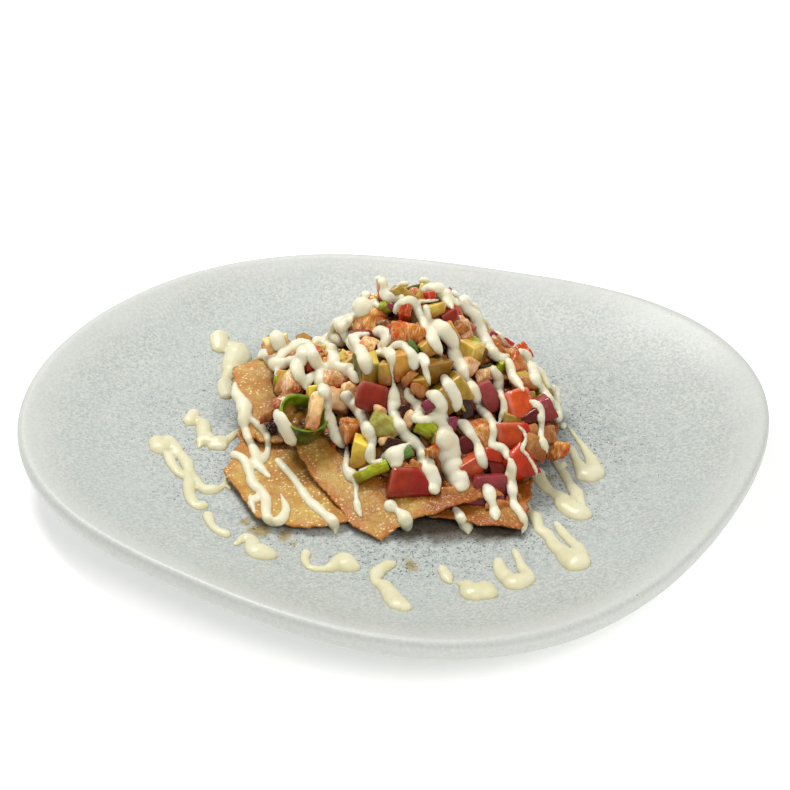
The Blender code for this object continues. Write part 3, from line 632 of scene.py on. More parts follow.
def glaze_material():
    """Pale grey glaze with a blue-green cast, fine mottling, dark specks towards the middle, oil stains, and
    a brown painted shadow under the front sheets' edges.
    """
    look = Shader("speckled_glaze", Roughness=0.40, Specular_IOR_Level=0.4)
    place = look.millimetres()
    middle = look.attribute("middle")
    broad = look.noise(place, 22)
    mottle = look.noise(place, 1.15, 3, 0.6)
    base = look.mix(look.span(mottle, 0.34, 0.66), (166, 173, 170), (196, 200, 193))
    base = look.mix(look.span(broad, 0.40, 0.70, 0, 0.30), base, (182, 192, 190))
    blotch = look.span(look.noise(place, 1.9, 2, 0.6), 0.46, 0.66)
    base = look.mix(look.times(middle, look.times(blotch, 0.62)), base, (134, 144, 146))
    base = look.mix(look.times(look.attribute("rim"), 0.65), base, (205, 207, 202))
    crowd = look.times(middle, look.span(broad, 0.25, 0.6, 0.11, 0.155))
    speck = look.span(look.math("ADD", look.noise(place, 1.15, 1.5), crowd), 0.745, 0.79)
    base = look.mix(look.times(speck, 0.8), base, (78, 86, 92))
    dots = look.math("ADD", look.noise(place, 0.75, 1.5), crowd)
    base = look.mix(look.span(dots, 0.77, 0.81, 0, 0.7), base, (96, 92, 82))
    base = look.mix(look.attribute("oil"), base, look.stained_or_shaded(base, (214, 182, 104), 0.85))
    # Painted shadow: a brown band under the front sheets' edges.
    base = look.mix(look.attribute("painted_shadow"), base, look.stained_or_shaded(base, (136, 122, 108)))
    bumps = look.relief(look.noise(place, 5.0, 3), 0.10)
    look.set(Base_Color=base, Normal=look.relief(mottle, 0.05, bumps))
    return look.material


def crisp_material():
    """Fried dough: golden, with small pale blisters in drifts, browner edges, and dressing soaked in."""
    look = Shader("fried_sheet", Specular_IOR_Level=0.22, Subsurface_Weight=0.05,
                  Subsurface_Radius=(1.0, 0.7, 0.3), Subsurface_Scale=0.001)
    place = look.millimetres()
    middle = look.noise(place, 4.0, 3, 0.6)
    grain = look.noise(place, 0.8, 3, 0.65)
    base = look.mix(look.span(look.noise(place, 13, 3, 0.55), 0.36, 0.62), (172, 118, 50), (194, 160, 78))
    base = look.mix(look.span(middle, 0.46, 0.72, 0, 0.65), base, (172, 110, 44))
    base = look.mix(look.span(grain, 0.52, 0.76, 0, 0.45), base, (208, 178, 100))
    base = look.mix(look.span(grain, 0.46, 0.30, 0, 0.35), base, (158, 102, 42))
    edge = look.times(look.attribute("rim"), look.span(look.noise(place, 2.4, 2, 0.6), 0.28, 0.6, 0.3, 1.0))
    base = look.mix(look.times(edge, 0.75), base, (186, 110, 48))
    drift = look.span(look.noise(place, 7.0, 3, 0.6), 0.42, 0.56, 0.1, 1.0)
    large = look.cells(place, 1.5)
    chosen = look.math("GREATER_THAN", look.cells(place, 1.5, "Color"), 0.25)
    blisters = look.times(look.span(large, 0.42, 0.20), chosen)
    small = look.cells(place, 0.9)
    spots = look.math("MAXIMUM", blisters, look.times(look.span(small, 0.36, 0.20), 0.4))
    base = look.mix(look.times(spots, drift), base, (236, 212, 160))
    soak = look.attribute("soak")
    base = look.mix(soak, base, look.stained_or_shaded(base, (204, 158, 116)))
    sauce = look.attribute("sauce")
    base = look.mix(sauce, base, (66, 30, 16))
    wet = look.math("MAXIMUM", look.times(soak, 0.7), sauce)
    look.set(Base_Color=base, Roughness=look.span(wet, 0, 1, 0.45, 0.18), Coat_Roughness=0.08,
             Coat_Weight=look.span(wet, 0, 1, 0.03, 0.5))
    bumps = look.relief(look.noise(place, 2.6, 4, 0.6), 0.14)
    bumps = look.relief(look.span(large, 0.40, 0.05), 0.18, bumps)
    bumps = look.relief(look.span(small, 0.50, 0.1), 0.12, bumps)
    bumps = look.relief(grain, 0.10, bumps)
    look.set(Normal=bumps, Coat_Normal=bumps)
    return look.material


def cream_material(name, yellow):
    """Thick pale sauce with a few tiny specks of herb and spice."""
    look = Shader(name, Roughness=0.48, Specular_IOR_Level=0.25, Subsurface_Weight=0.75,
                  Subsurface_Radius=(1.0, 0.85, 0.55), Subsurface_Scale=0.003)
    place = look.millimetres()
    pale = look.mix(yellow, (237, 233, 216), (211, 208, 174))
    deep = look.mix(yellow, (230, 224, 200), (206, 202, 161))
    base = look.mix(look.span(look.noise(place, 7), 0.35, 0.65), pale, deep)
    base = look.mix(look.times(look.attribute("thin"), 0.55), base, (222, 206, 156))
    kind = look.math("GREATER_THAN", look.cells(place, 3.2, "Color"), 0.5)
    speck = look.span(look.cells(place, 3.2), 0.085, 0.045, 0, 0.65)
    base = look.mix(speck, base, look.mix(kind, (176, 140, 60), (150, 158, 60)))
    look.set(Base_Color=base, Coat_Weight=0.30, Coat_Roughness=0.12,
             Normal=look.relief(look.noise(place, 3.0), 0.12))
    return look.material


def wet_coat(look, base, film_share):
    """Brown dressing over food: a film in patches, a darker, browner colour low down on each piece that is
    partly dressing and partly painted shade, and a rippled gloss.
    """
    place = look.millimetres()
    film = look.span(look.noise(place, 3.6), 0.45, 0.62, 0, film_share)
    base = look.mix(film, base, look.stained_or_shaded(base, (214, 156, 88)))
    # Painted shade, partly dressing: darker and browner towards each piece's bottom.
    low = look.times(look.span(look.attribute("low"), 0.15, 0.95), 0.95)
    base = look.mix(low, base, look.stained_or_shaded(base, (186, 128, 84)))
    look.set(Base_Color=base, Coat_Weight=0.52, Coat_Roughness=0.05,
             Coat_Normal=look.relief(look.noise(place, 1.8), 0.14))


def flesh_material(name, roughness, grain_share, upper_edge_highlight, translucent):
    """Smooth wet cut food. Its tint comes with each piece, and a painted highlight pales its upper edges."""
    look = Shader(name, Roughness=roughness, Specular_IOR_Level=0.14, Subsurface_Weight=translucent,
                  Subsurface_Radius=(1.0, 0.5, 0.25), Subsurface_Scale=0.0024)
    tint = look.attribute("tint", "Color")
    local = look.attribute("local", "Vector")
    broad = look.noise(local, 3.6)
    grain = look.noise(local, 0.7, 3, 0.6)
    base = look.shift(tint, value=look.span(broad, 0.3, 0.7, 0.88, 1.12))
    base = look.shift(base, value=look.span(grain, 0.3, 0.7, 1 - grain_share, 1 + grain_share))
    # Painted highlight: paler upper edges, where the top light falls.
    upper = look.times(look.attribute("edge"), look.span(look.attribute("low"), 0.7, 0.1))
    base = look.mix(look.times(upper, upper_edge_highlight), base, look.shift(tint, saturation=0.7, value=1.4))
    base = look.mix(look.attribute("skin"), base, look.attribute("skin_tint", "Color"))
    wet_coat(look, base, 0.35)
    look.set(Normal=look.relief(grain, 0.25 * grain_share, look.relief(broad, 0.20)))
    return look.material


def fibre_material(name, size, curl, contrast, skin_tint, translucent):
    """Wet flesh in fibres of a size, pale and deep by turns, that curl. Its outside has its own tint."""
    look = Shader(name, Roughness=0.3, Specular_IOR_Level=0.14, Subsurface_Weight=translucent,
                  Subsurface_Radius=(1.0, 0.5, 0.25), Subsurface_Scale=0.0022)
    tint = look.attribute("tint", "Color")
    local = look.attribute("local", "Vector")
    fibres = look.noise(look.scaled(local, 1.0, 0.24, 1.0), size, warp=curl)
    patch = look.noise(local, 2.6)
    deep = look.shift(tint, saturation=1 + 0.25 * contrast, value=1 - 0.32 * contrast)
    pale = look.shift(tint, saturation=1 - 0.4 * contrast, value=1 + 0.35 * contrast)
    base = look.mix(look.span(fibres, 0.34, 0.54), deep, tint)
    base = look.mix(look.span(fibres, 0.50, 0.68), base, pale)
    base = look.shift(base, value=look.span(patch, 0.3, 0.7, 0.85, 1.12))
    blotch = look.span(look.noise(look.scaled(local, 0.5, 1.0, 1.0), 1.3, 3, 0.6), 0.40, 0.58, 0.15, 1.0)
    base = look.mix(look.times(look.attribute("skin"), blotch), base, skin_tint)
    wet_coat(look, base, 0.55)
    look.set(Normal=look.relief(patch, 0.35, look.relief(fibres, 0.14 * contrast)))
    return look.material


def pepper_material():
    """Hot pepper: deep green glossy skin, bright green cut wall, and a brown filling."""
    look = Shader("hot_pepper", Roughness=0.2, Specular_IOR_Level=0.5, Subsurface_Weight=0.15,
                  Subsurface_Radius=(0.6, 1.0, 0.2), Subsurface_Scale=0.0015)
    local = look.attribute("local", "Vector")
    patch = look.noise(local, 3.6)
    grain = look.noise(local, 0.7, 3, 0.6)
    skin = look.mix(look.span(patch, 0.35, 0.65), (24, 54, 6), (64, 98, 6))
    skin = look.mix(look.span(grain, 0.66, 0.8, 0, 0.25), skin, (120, 146, 80))
    wall = look.mix(look.span(patch, 0.4, 0.6), (98, 128, 4), (132, 156, 26))
    base = look.mix(look.attribute("edge"), skin, wall)
    filling = look.mix(look.span(look.noise(local, 4.0), 0.40, 0.60), (70, 34, 12), (158, 108, 30))
    base = look.mix(look.attribute("skin"), base, filling)
    look.set(Base_Color=base, Coat_Weight=0.4, Coat_Roughness=0.06, Normal=look.relief(grain, 0.12))
    return look.material


def dressing_material():
    """The dark, glossy dressing that everything lies in."""
    look = Shader("dressing", Roughness=0.20, Specular_IOR_Level=0.4)
    place = look.millimetres()
    lumps = look.noise(place, 3.2, 3, 0.6)
    base = look.mix(look.span(lumps, 0.38, 0.62), (24, 9, 5), (78, 36, 16))
    base = look.mix(look.span(look.noise(place, 1.4), 0.62, 0.76, 0, 0.6), base, (132, 72, 36))
    look.set(Base_Color=base, Coat_Weight=0.3, Coat_Roughness=0.05, Normal=look.relief(lumps, 0.6))
    return look.material


def floor_material():
    look = Shader("pale_floor", Roughness=0.9, Specular_IOR_Level=0.1)
    base = look.mix(look.noise(look.place, 0.4), (0.93, 0.93, 0.93, 1), (0.95, 0.95, 0.95, 1))
    look.set(Base_Color=base, Emission_Color=(1, 1, 1, 1), Emission_Strength=0.30)
    return look.material


# --- plate --------------------------------------------------------------------------------------------

def plate_radius(angle):
    lobes = (height * math.cos(count * (angle - math.radians(first)))
             for count, height, first in PLATE_LOBES)
    return PLATE_RADIUS + sum(lobes)


def plate_shift():
    """The move that centres the frame's plate, which has fewer segments."""
    turns = [2 * math.pi * i / PLATE_FRAME_SEGMENTS for i in range(PLATE_FRAME_SEGMENTS)]
    xs = [plate_radius(turn) * math.cos(turn) for turn in turns]
    ys = [plate_radius(turn) * math.sin(turn) for turn in turns]
    return -(min(xs) + max(xs)) / 2, -(min(ys) + max(ys)) / 2


def stain_and_shadow_at(points, stains_and_shadows):
    """How strongly each list of spots marks the plate at each point: for the oil, how much has run onto it;
    for the painted shadow, how dark the painted shade is.
    """
    stain = np.zeros(len(points))
    wander = field(points, 4.0, 3)
    for x, y, across, down in stains_and_shadows:
        way = sight_line((x, y))
        spot = EYE + way * ((PLATE_FLAT - EYE.z) / way.z)
        dx = (points[:, 0] - spot.x) / (across * STEP)
        dy = (points[:, 1] - spot.y) / (down * STEP / math.sin(SIGHT_ELEVATION))
        reach = np.sqrt(dx * dx + dy * dy) + 4.5 / (across + 4) * wander
        stain = np.maximum(stain, 1 - smooth(reach, 0.55, 1.05))
    return stain


def make_plate(material):
    profile = spline_weights(len(PLATE_PROFILE), PROFILE_STEPS) @ np.array(PLATE_PROFILE)
    profile = profile[:-PROFILE_STEPS]
    share = np.clip(profile[:, 0], 0.0, 1.0)
    share[0] = 0.0
    turns = np.linspace(0, 2 * math.pi, PLATE_SEGMENTS, endpoint=False)
    radius = np.array([plate_radius(turn) for turn in turns])
    shift_x, shift_y = plate_shift()
    xs = np.outer(share, radius * np.cos(turns)) + shift_x
    ys = np.outer(share, radius * np.sin(turns)) + shift_y
    zs = np.repeat(np.maximum(profile[:, 1], 0)[:, None], PLATE_SEGMENTS, axis=1)
    points = grid_points(xs, ys, zs)
    rows = np.repeat(np.arange(len(profile)), PLATE_SEGMENTS)
    top = int(np.argmax(profile[:, 1]))
    free = (rows > 0) & (rows < top * 1.4)
    hand = np.minimum(points[:, 2] + 0.25 * field(points, 26, 1), PLATE_HEIGHT)
    points[:, 2] = np.where(free, hand, points[:, 2])
    faces = grid_faces(len(profile), PLATE_SEGMENTS, closed=True)
    last = (len(profile) - 1) * PLATE_SEGMENTS
    faces.append(tuple(last + i for i in range(PLATE_SEGMENTS)))
    away = np.repeat(share, PLATE_SEGMENTS)
    wander = field(points, 16, 5)
    upper = rows <= top
    rim = np.where(upper, smooth(away + 0.02 * wander, 0.86, 0.975), 1.0)
    middle = np.where(upper, 1 - smooth(away + 0.07 * wander, 0.46, 0.92), 0.0)
    form = Form()
    form.add(points, faces, rim=rim, middle=middle, oil=np.where(upper, stain_and_shadow_at(points, OIL_STAINS), 0),
             painted_shadow=np.where(upper, stain_and_shadow_at(points, PAINTED_SHADOW_STAINS), 0))
    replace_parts(form.make("speckled_plate", material, "glaze"), "plate")
    return form.tree()


# --- fried sheets -------------------------------------------------------------------------------------

def sheet_point(corner_points, bows, u, v):
    """A point of a four-cornered sheet whose sides bow outwards."""
    near_left, near_right, far_right, far_left = (Vector(corner) for corner in corner_points)
    point = (near_left.lerp(near_right, u)).lerp(far_left.lerp(far_right, u), v)
    sides = ((near_left, near_right, u, 1 - v), (near_right, far_right, v, u),
             (far_right, far_left, u, v), (far_left, near_left, v, 1 - u))
    for (start, end, along, share), bow in zip(sides, bows):
        out = Vector((end.y - start.y, start.x - end.x, 0)).normalized()
        point += out * bow * 4 * along * (1 - along) * share
    return point


def sheet_rows(name, ground):
    """The frame's coarse sheet, resting on what lies under it."""
    corner_points, bows = SHEETS[name]
    count = SHEET_CELLS + 1
    rows = np.empty((count, count, 3))
    for i in range(count):
        for j in range(count):
            point = sheet_point(corner_points, bows, i / SHEET_CELLS, j / SHEET_CELLS)
            point.z += SHEET_RIPPLE * noise.noise(point / 14)
            rest = ground.height(point.x, point.y, 3.0) + SHEET_THICKNESS + 2 * GAP
            point.z = max(point.z, rest)
            rows[i, j] = point
    return rows


def cell_bumps(points, size, reach):
    """Round bumps, one in each cell of a size, as a height from 0 to 1."""
    nearest = np.array([noise.voronoi(Vector(point) / size, distance_metric="DISTANCE", exponent=2.5)[0][0]
                        for point in points])
    return np.clip(1 - (nearest / reach) ** 2, 0, 1)


def soaked(points):
    """How far dressing has soaked into a sheet at each point: all of it near the heap's foot."""
    away = points[:, :2] - np.array(HEAP_MIDDLE)
    turns = np.arctan2(away[:, 1], away[:, 0])
    wanted = np.linspace(-math.pi, math.pi, 73)
    reaches = np.array([heap_reach(turn) for turn in wanted])
    share = np.linalg.norm(away, axis=1) / np.interp(turns, wanted, reaches)
    right = smooth(points[:, 0], -5, 25)
    left = smooth(-points[:, 0], 30, 48)
    return 1 - smooth(share + 0.10 * field(points, 5, 8) - 0.16 * right + 0.14 * left, 0.90, 1.12)


def sauce_at(points):
    """Dark dressing that lies on a sheet by the pepper slice."""
    away = np.linalg.norm((seen_places(points) - np.array(SAUCE_PLACE)) / np.array(SAUCE_REACH), axis=1)
    return 1 - smooth(away + 0.6 * field(points, 3.0, 4), 0.8, 0.95)


def sheet_places(name, u, wide, long, seed):
    """Where a sheet's points lie on its surface. The sides wander, so that the outline is broken."""
    ragged = [field([(k * s / 5.0, 9.0 * side + seed, 0.0) for k in u], 1.0) * 1.1
              + field([(k * s / 1.7, 9.0 * side + seed, 5.0) for k in u], 1.0) * 0.45
              for side, s in enumerate((long, long, wide, wide))]
    trims = SHEET_TRIMS.get(name, ((0, 0),) * 4)
    left, right, near, far = (wander + np.interp(u, np.linspace(0, 1, len(trim)), trim)
                              for wander, trim in zip(ragged, trims))
    grid_u = (left[None, :] / wide) + u[:, None] * (1 + (right - left)[None, :] / wide)
    grid_v = (near[:, None] / long) + u[None, :] * (1 + (far - near)[:, None] / long)
    return grid_u * (len(u) - 1), grid_v * (len(u) - 1)


def surface_at(surface, grid_u, grid_v):
    """The points of a surface at places between its own."""
    count = len(surface)
    i = np.clip(grid_u.astype(int), 0, count - 2)
    j = np.clip(grid_v.astype(int), 0, count - 2)
    a = (grid_u - i)[..., None]
    b = (grid_v - j)[..., None]
    return ((surface[i, j] * (1 - a) + surface[i + 1, j] * a) * (1 - b)
            + (surface[i, j + 1] * (1 - a) + surface[i + 1, j + 1] * a) * b).reshape(-1, 3)


def lift_sheet(top, edge, droop, seed):
    """Swells and blisters a sheet's upper side, lifts its edges here and there, and lets it droop."""
    cluster = smooth(field(top, 9, seed) + 0.25 * field(top, 3, seed), -0.15, 0.30)
    blister = cell_bumps(top + seed, 1.9, 0.62) * cluster
    swell = 0.50 * field(top, 9, seed + 2) + 0.16 * field(top, 3.6, seed + 4)
    lift = 0.7 * np.exp(-edge / 3.0) * (field(top, 9, seed + 6) + 0.3)
    top[:, 2] += swell + lift + 0.25 * blister - droop


def sheet_side(top, bottom, count, seed):
    """The ring of points round a sheet, and the points between its upper and lower side."""
    ring = list(range(count)) + [(k + 1) * count - 1 for k in range(1, count)]
    ring += [(count - 1) * count + k for k in range(count - 2, -1, -1)]
    ring += [k * count for k in range(count - 2, 0, -1)]
    side = (top[ring] + bottom[ring]) / 2
    out = side - top[ring].mean(axis=0)
    out[:, 2] = 0
    out /= np.linalg.norm(out, axis=1)[:, None]
    side += out * (0.55 + 0.5 * field(side, 1.5, seed))[:, None]
    return ring, side


def sheet_faces(ring, count):
    """Faces between the upper points, the lower points and the points of the side."""
    faces = [tuple(reversed(face)) for face in grid_faces(count, count)]
    under = count * count
    faces += [tuple(k + under for k in reversed(face)) for face in faces]
    base = 2 * under
    for k in range(len(ring)):
        n = (k + 1) % len(ring)
        faces.append((ring[k], ring[n], base + n, base + k))
        faces.append((base + k, base + n, ring[n] + under, ring[k] + under))
    return faces


def make_sheet(name, ground, material, seed):
    coarse = sheet_rows(name, ground)
    wide = np.linalg.norm(coarse[-1, 3] - coarse[0, 3])
    long = np.linalg.norm(coarse[3, -1] - coarse[3, 0])
    weights = spline_weights(SHEET_CELLS + 1, SHEET_FINE)
    surface = np.einsum("ai,ijk,bj->abk", weights, coarse, weights)
    count = len(weights)
    u = np.linspace(0, 1, count)
    top = surface_at(surface, *sheet_places(name, u, wide, long, seed))
    inward = np.minimum(u, 1 - u)
    edge = np.minimum((inward * wide)[:, None], (inward * long)[None, :]).reshape(-1)
    droop_left, droop_near = SHEET_DROOP.get(name, (0, 0))
    droop = droop_left * (1 - smooth(np.repeat(u, count) * wide, 0, DROOP_REACH))
    droop += droop_near * (1 - smooth(np.tile(u, count) * long, 0, DROOP_REACH))
    lift_sheet(top, edge, droop, seed)
    if droop_near:
        rest = np.array([ground.height(x, y) for x, y, _ in top]) + SHEET_THICKNESS + 0.6
        top[:, 2] = np.maximum(top[:, 2], rest)
    bottom = top.copy()
    thick = SHEET_THICKNESS * (0.85 + 0.15 * field(top, 5, seed + 8)) * (0.55 + 0.45 * smooth(edge, 0, 1.2))
    bottom[:, 2] -= thick
    rim = 1 - smooth(edge + 1.4 * field(top, 4, seed + 9), 0.3, 4.6)
    ring, side = sheet_side(top, bottom, count, seed)
    points = np.concatenate([top, bottom, side])
    sauce = sauce_at(points) if name == SAUCE_SHEET else np.zeros(len(points))
    form = Form()
    form.add(points, sheet_faces(ring, count), rim=np.concatenate([rim, rim, np.ones(len(ring))]),
             sauce=sauce, soak=np.maximum(soaked(points), SHEET_SOAK.get(name, 0)))
    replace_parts(form.make("fried_" + name, material, "fried_sheet"), name)
    return form.tree()


# --- mounds -------------------------------------------------------------------------------------------

def mound_shares(x, y):
    shares = []
    for middle, reaches, _, _, tip in MOUNDS:
        left, right, front, back = reaches
        dx = x - middle[0]
        dy = y - middle[1]
        across = dx / (right if dx > 0 else left)
        along = dy / (back if dy > 0 else front)
        edge = math.sqrt(1 + tip * tip)
        share = (edge - math.sqrt(across * across + along * along + tip * tip)) / (edge - tip)
        shares.append(share)
    return shares


def mound_height(x, y):
    """The height of the heap's outer form."""
    heights = [mound[2] + (mound[3] - mound[2]) * share
               for mound, share in zip(MOUNDS, mound_shares(x, y))]
    highest = max(heights)
    blended = sum(math.exp((height - highest) / MOUND_BLEND) for height in heights)
    return highest + MOUND_BLEND * math.log(blended)


def mound_normal(x, y):
    step = 1.5
    slope_x = (mound_height(x + step, y) - mound_height(x - step, y)) / (2 * step)
    slope_y = (mound_height(x, y + step) - mound_height(x, y - step)) / (2 * step)
    return Vector((-slope_x, -slope_y, 1)).normalized()


def heap_reach(angle):
    way = Vector((math.cos(angle), math.sin(angle)))
    for step in range(200):
        radius = 100 - step * 0.5
        point = HEAP_MIDDLE + radius * way
        if max(mound_shares(point.x, point.y)) > MOUND_RIM:
            return radius
    return 0.0


def core_reach(way):
    """How much of the heap's reach the core has towards a side."""
    reach = 0.93 - 0.10 * float(smooth(-way.x, 0.6, 0.95)) - 0.12 * float(smooth(way.x - way.y, 0.5, 1.1))
    return reach - 0.06 * float(smooth(way.y, 0.3, 0.9))


def around(turn, share):
    """A place at a share of the heap's reach."""
    return HEAP_MIDDLE + heap_reach(turn) * share * Vector((math.cos(turn), math.sin(turn)))


def make_core(ground, material):
    """The dark dressed core, a lumpy cap whose rim lies on the sheets."""
    points, floors = [], []
    for ring in range(CORE_RINGS + 1):
        share = math.sin(ring / CORE_RINGS * math.pi / 2)
        for k in range(CORE_TURNS):
            angle = 2 * math.pi * k / CORE_TURNS
            way = Vector((math.cos(angle), math.sin(angle)))
            place = HEAP_MIDDLE + heap_reach(angle) * share * core_reach(way) * way
            upright = max(mound_normal(place.x, place.y).z, 0.4)
            top = mound_height(place.x, place.y) - CORE_DEPTH / upright
            floor = ground.height(place.x, place.y)
            points.append((place.x, place.y, max(top, floor + 0.5)))
            floors.append(floor)
    points = np.array(points)
    inner = np.repeat(1 - (np.arange(CORE_RINGS + 1) / CORE_RINGS) ** 6, CORE_TURNS)
    lumps = 1.5 * field(points, 5, 2) + 0.7 * field(points, 2.2, 4)
    points[:, 2] += lumps * inner
    base = points.copy()
    base[:, 2] = np.minimum(base[:, 2] - 1.0, np.array(floors) - 0.8)
    faces = grid_faces(CORE_RINGS + 1, CORE_TURNS, closed=True)
    count = len(points)
    faces += [tuple(k + count for k in reversed(face)) for face in faces]
    last = CORE_RINGS * CORE_TURNS
    for k in range(CORE_TURNS):
        n = (k + 1) % CORE_TURNS
        faces.append((last + k, last + n, count + last + n, count + last + k))
    form = Form()
    form.add(np.concatenate([points, base]), faces)
    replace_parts(form.make("dressed_core", material, "heap"), "seafood_heap")
    return form.tree()


# --- pieces of the heap ---------------------------------------------------------------------------------

def cube_surface(cells):
    """A cube's surface from -1 to 1 as points and quads, with finer cells towards the edges."""
    steps = np.sin(np.linspace(-1, 1, cells + 1) * 1.25) / math.sin(1.25)
    count = cells + 1
    points, faces = [], []
    for axis in range(3):
        for sign in (-1, 1):
            u, v = np.meshgrid(steps, steps, indexing="ij")
            side = np.empty((count, count, 3))
            side[..., axis] = sign
            side[..., (axis + 1) % 3] = u
            side[..., (axis + 2) % 3] = v
            index = len(points) * count * count + np.arange(count * count).reshape(count, count)
            corners = (index[:-1, :-1], index[1:, :-1], index[1:, 1:], index[:-1, 1:])
            quads = np.stack(corners, -1).reshape(-1, 4)
            points.append(side.reshape(-1, 3))
            faces.append(quads if sign > 0 else quads[:, ::-1])
    merged, where = np.unique(np.round(np.concatenate(points), 6), axis=0, return_inverse=True)
    return merged, where.reshape(-1)[np.concatenate(faces)]


CUBE = cube_surface(9)


def block(size, rounding, draw, crook, wave, taper=0.0):
    """A knife-cut block with uneven corners and rounded edges, narrower below by a taper.

    Returns points, faces and how much of an edge each point is.
    """
    cube, faces = CUBE
    half = np.array(size) / 2
    rounding = min(rounding, 0.9 * half.min())
    points = cube * half
    inner = np.clip(points, -(half - rounding), half - rounding)
    out = points - inner
    length = np.linalg.norm(out, axis=1)[:, None]
    out = out / np.maximum(length, 1e-6)
    points = inner + out * rounding
    edge = smooth(1 - np.abs(out).max(axis=1), 0.02, 0.25)
    shape = np.array([[draw.uniform(-crook, crook) for _ in range(3)] for _ in range(8)])
    share = (cube + 1) / 2
    bend = np.zeros_like(points)
    for k in range(8):
        bits = np.array([k & 1, (k >> 1) & 1, (k >> 2) & 1])
        weight = np.prod(np.where(bits, share, 1 - share), axis=1)
        bend += weight[:, None] * shape[k]
    points = points + bend * half * 2
    points[:, 0] *= 1 + taper * points[:, 1] / half[1]
    seed = draw.uniform(0, 50)
    points += out * (wave * field(points, 3.5, seed) + 0.35 * wave * field(points, 1.4, seed))[:, None]
    return points, faces, edge


def tube_form(path, across, through, sides, corner):
    """A closed tube along a path. Its half widths are given at each point, and corner squares it."""
    count = len(path)
    way = np.gradient(path, axis=0)
    way /= np.linalg.norm(way, axis=1)[:, None]
    normal = np.tile((0.0, 0.0, 1.0), (count, 1))
    side = np.cross(way, normal)
    side /= np.linalg.norm(side, axis=1)[:, None]
    turns = np.linspace(0, 2 * math.pi, sides, endpoint=False)
    ring_x = np.sign(np.cos(turns)) * np.abs(np.cos(turns)) ** (2 / corner)
    ring_z = np.sign(np.sin(turns)) * np.abs(np.sin(turns)) ** (2 / corner)
    points = (path[:, None, :] + side[:, None, :] * (across[:, None] * ring_x)[..., None]
              + normal[:, None, :] * (through[:, None] * ring_z)[..., None])
    points = points.reshape(-1, 3)
    faces = grid_faces(count, sides, closed=True)
    ends = np.array([path[0], path[-1]])
    first = len(points)
    points = np.concatenate([points, ends])
    for k in range(sides):
        n = (k + 1) % sides
        faces.append((first, n, k))
        faces.append((first + 1, (count - 1) * sides + k, (count - 1) * sides + n))
    return points, faces


def blunt(count, power):
    """Widths along a tube that closes with blunt, rounded ends."""
    t = np.sin(np.linspace(-1, 1, count) * math.pi / 2)
    return (1 - np.abs(t) ** power) ** (1 / power) * 0.98 + 0.02


def shrimp_form(width, height, draw):
    """A plump, torn piece of shrimp, redder where its outside was."""
    depth = min(width, height) * 0.9
    points, faces, _ = block((width, height, depth), 0.36 * min(width, height), draw, 0.28, 1.2)
    seed = draw.uniform(0, 50)
    points += np.outer(field(points, 1.6, seed), (0.32, 0.32, 0.32))
    side = points @ np.array([math.cos(seed), math.sin(seed), 0.3]) / (0.5 * max(width, height))
    skin = smooth(side + 0.5 * field(points, 2.4, seed), 0.25, 0.8)
    return points, faces, skin


def stood_up(shape, width, height):
    """A shape that lies across, turned upright if it is to be higher than wide."""
    return shape[:, (1, 0, 2)] * np.array([-1, 1, 1]) if height > width else shape


def strip_form(width, height, draw):
    """A thin, slightly curved strip of onion."""
    long, short = max(width, height), min(width, height)
    count = 18
    t = np.sin(np.linspace(-1, 1, count) * math.pi / 2)
    bow = draw.uniform(-0.12, 0.12) * long
    path = np.stack([t * long / 2, bow * (1 - t * t), 0.08 * long * (1 - t * t)], axis=1)
    across = short / 2 * blunt(count, 6)
    points, faces = tube_form(path, across, min(1.1, short * 0.3) * blunt(count, 8), 16, 3.2)
    points = stood_up(points, width, height)
    seed = draw.uniform(0, 50)
    points[:, 2] += 0.25 * field(points, 3, seed)
    return points, faces


def scallion_form(width, height, _):
    """A slice of green stalk with ribs along it."""
    long, short = max(width, height), min(width, height)
    count = 20
    sides = 44
    t = np.sin(np.linspace(-1, 1, count) * math.pi / 2)
    path = np.stack([t * long / 2, 0.04 * long * (1 - t * t), 0 * t], axis=1)
    blunted = blunt(count, 12)
    points, faces = tube_form(path, short / 2 * blunted, short * 0.42 * blunted, sides, 2.4)
    angles = np.tile(np.linspace(0, 2 * math.pi, sides, endpoint=False), count)
    ribs = 1 + 0.045 * np.cos(angles * 11)
    points[:-2, 1:] *= ribs[:, None]
    return stood_up(points, width, height), faces


class Pieces:
    """The heap's pieces, gathered by kind of surface."""

    def __init__(self):
        self.forms = {}
        self.all = Form()

    def add(self, kind, points, faces, turn, tint, edge=None, local=None, skin=None, skin_tint=None):
        local = points if local is None else local
        matrix = np.array(turn)
        placed = points @ matrix[:3, :3].T + matrix[:3, 3]
        zeros = np.zeros(len(points))
        form = self.forms.setdefault(kind, Form())
        # low runs from 0 at a piece's top to 1 at its bottom; the materials paint shade towards the bottom
        # and a highlight on upper edges.
        low = (placed[:, 2].max() - placed[:, 2]) / np.ptp(placed[:, 2])
        form.add(placed, faces, low=low, tint=(*tint, 1), local=local, edge=zeros if edge is None else edge,
                 skin=zeros if skin is None else skin, skin_tint=(*(skin_tint or tint), 1))
        self.all.add(placed, faces)


def piece_frame(point, lean, yaw, depth, out, upright):
    """The place and turn of a piece that faces partly the viewer and partly out of the heap."""
    view = (EYE - point).normalized()
    normal = mound_normal(point.x, point.y)
    facing = Vector((view.x, view.y, 0.18)) if upright else view * 0.75 + normal * 0.35
    turn = facing_turn(facing.normalized())[2]
    middle = point - normal * (0.30 * depth - out)
    spin = Matrix.Rotation(math.radians(lean), 4, "Z") @ Matrix.Rotation(math.radians(yaw), 4, "Y")
    return Matrix.Translation(middle) @ turn @ spin


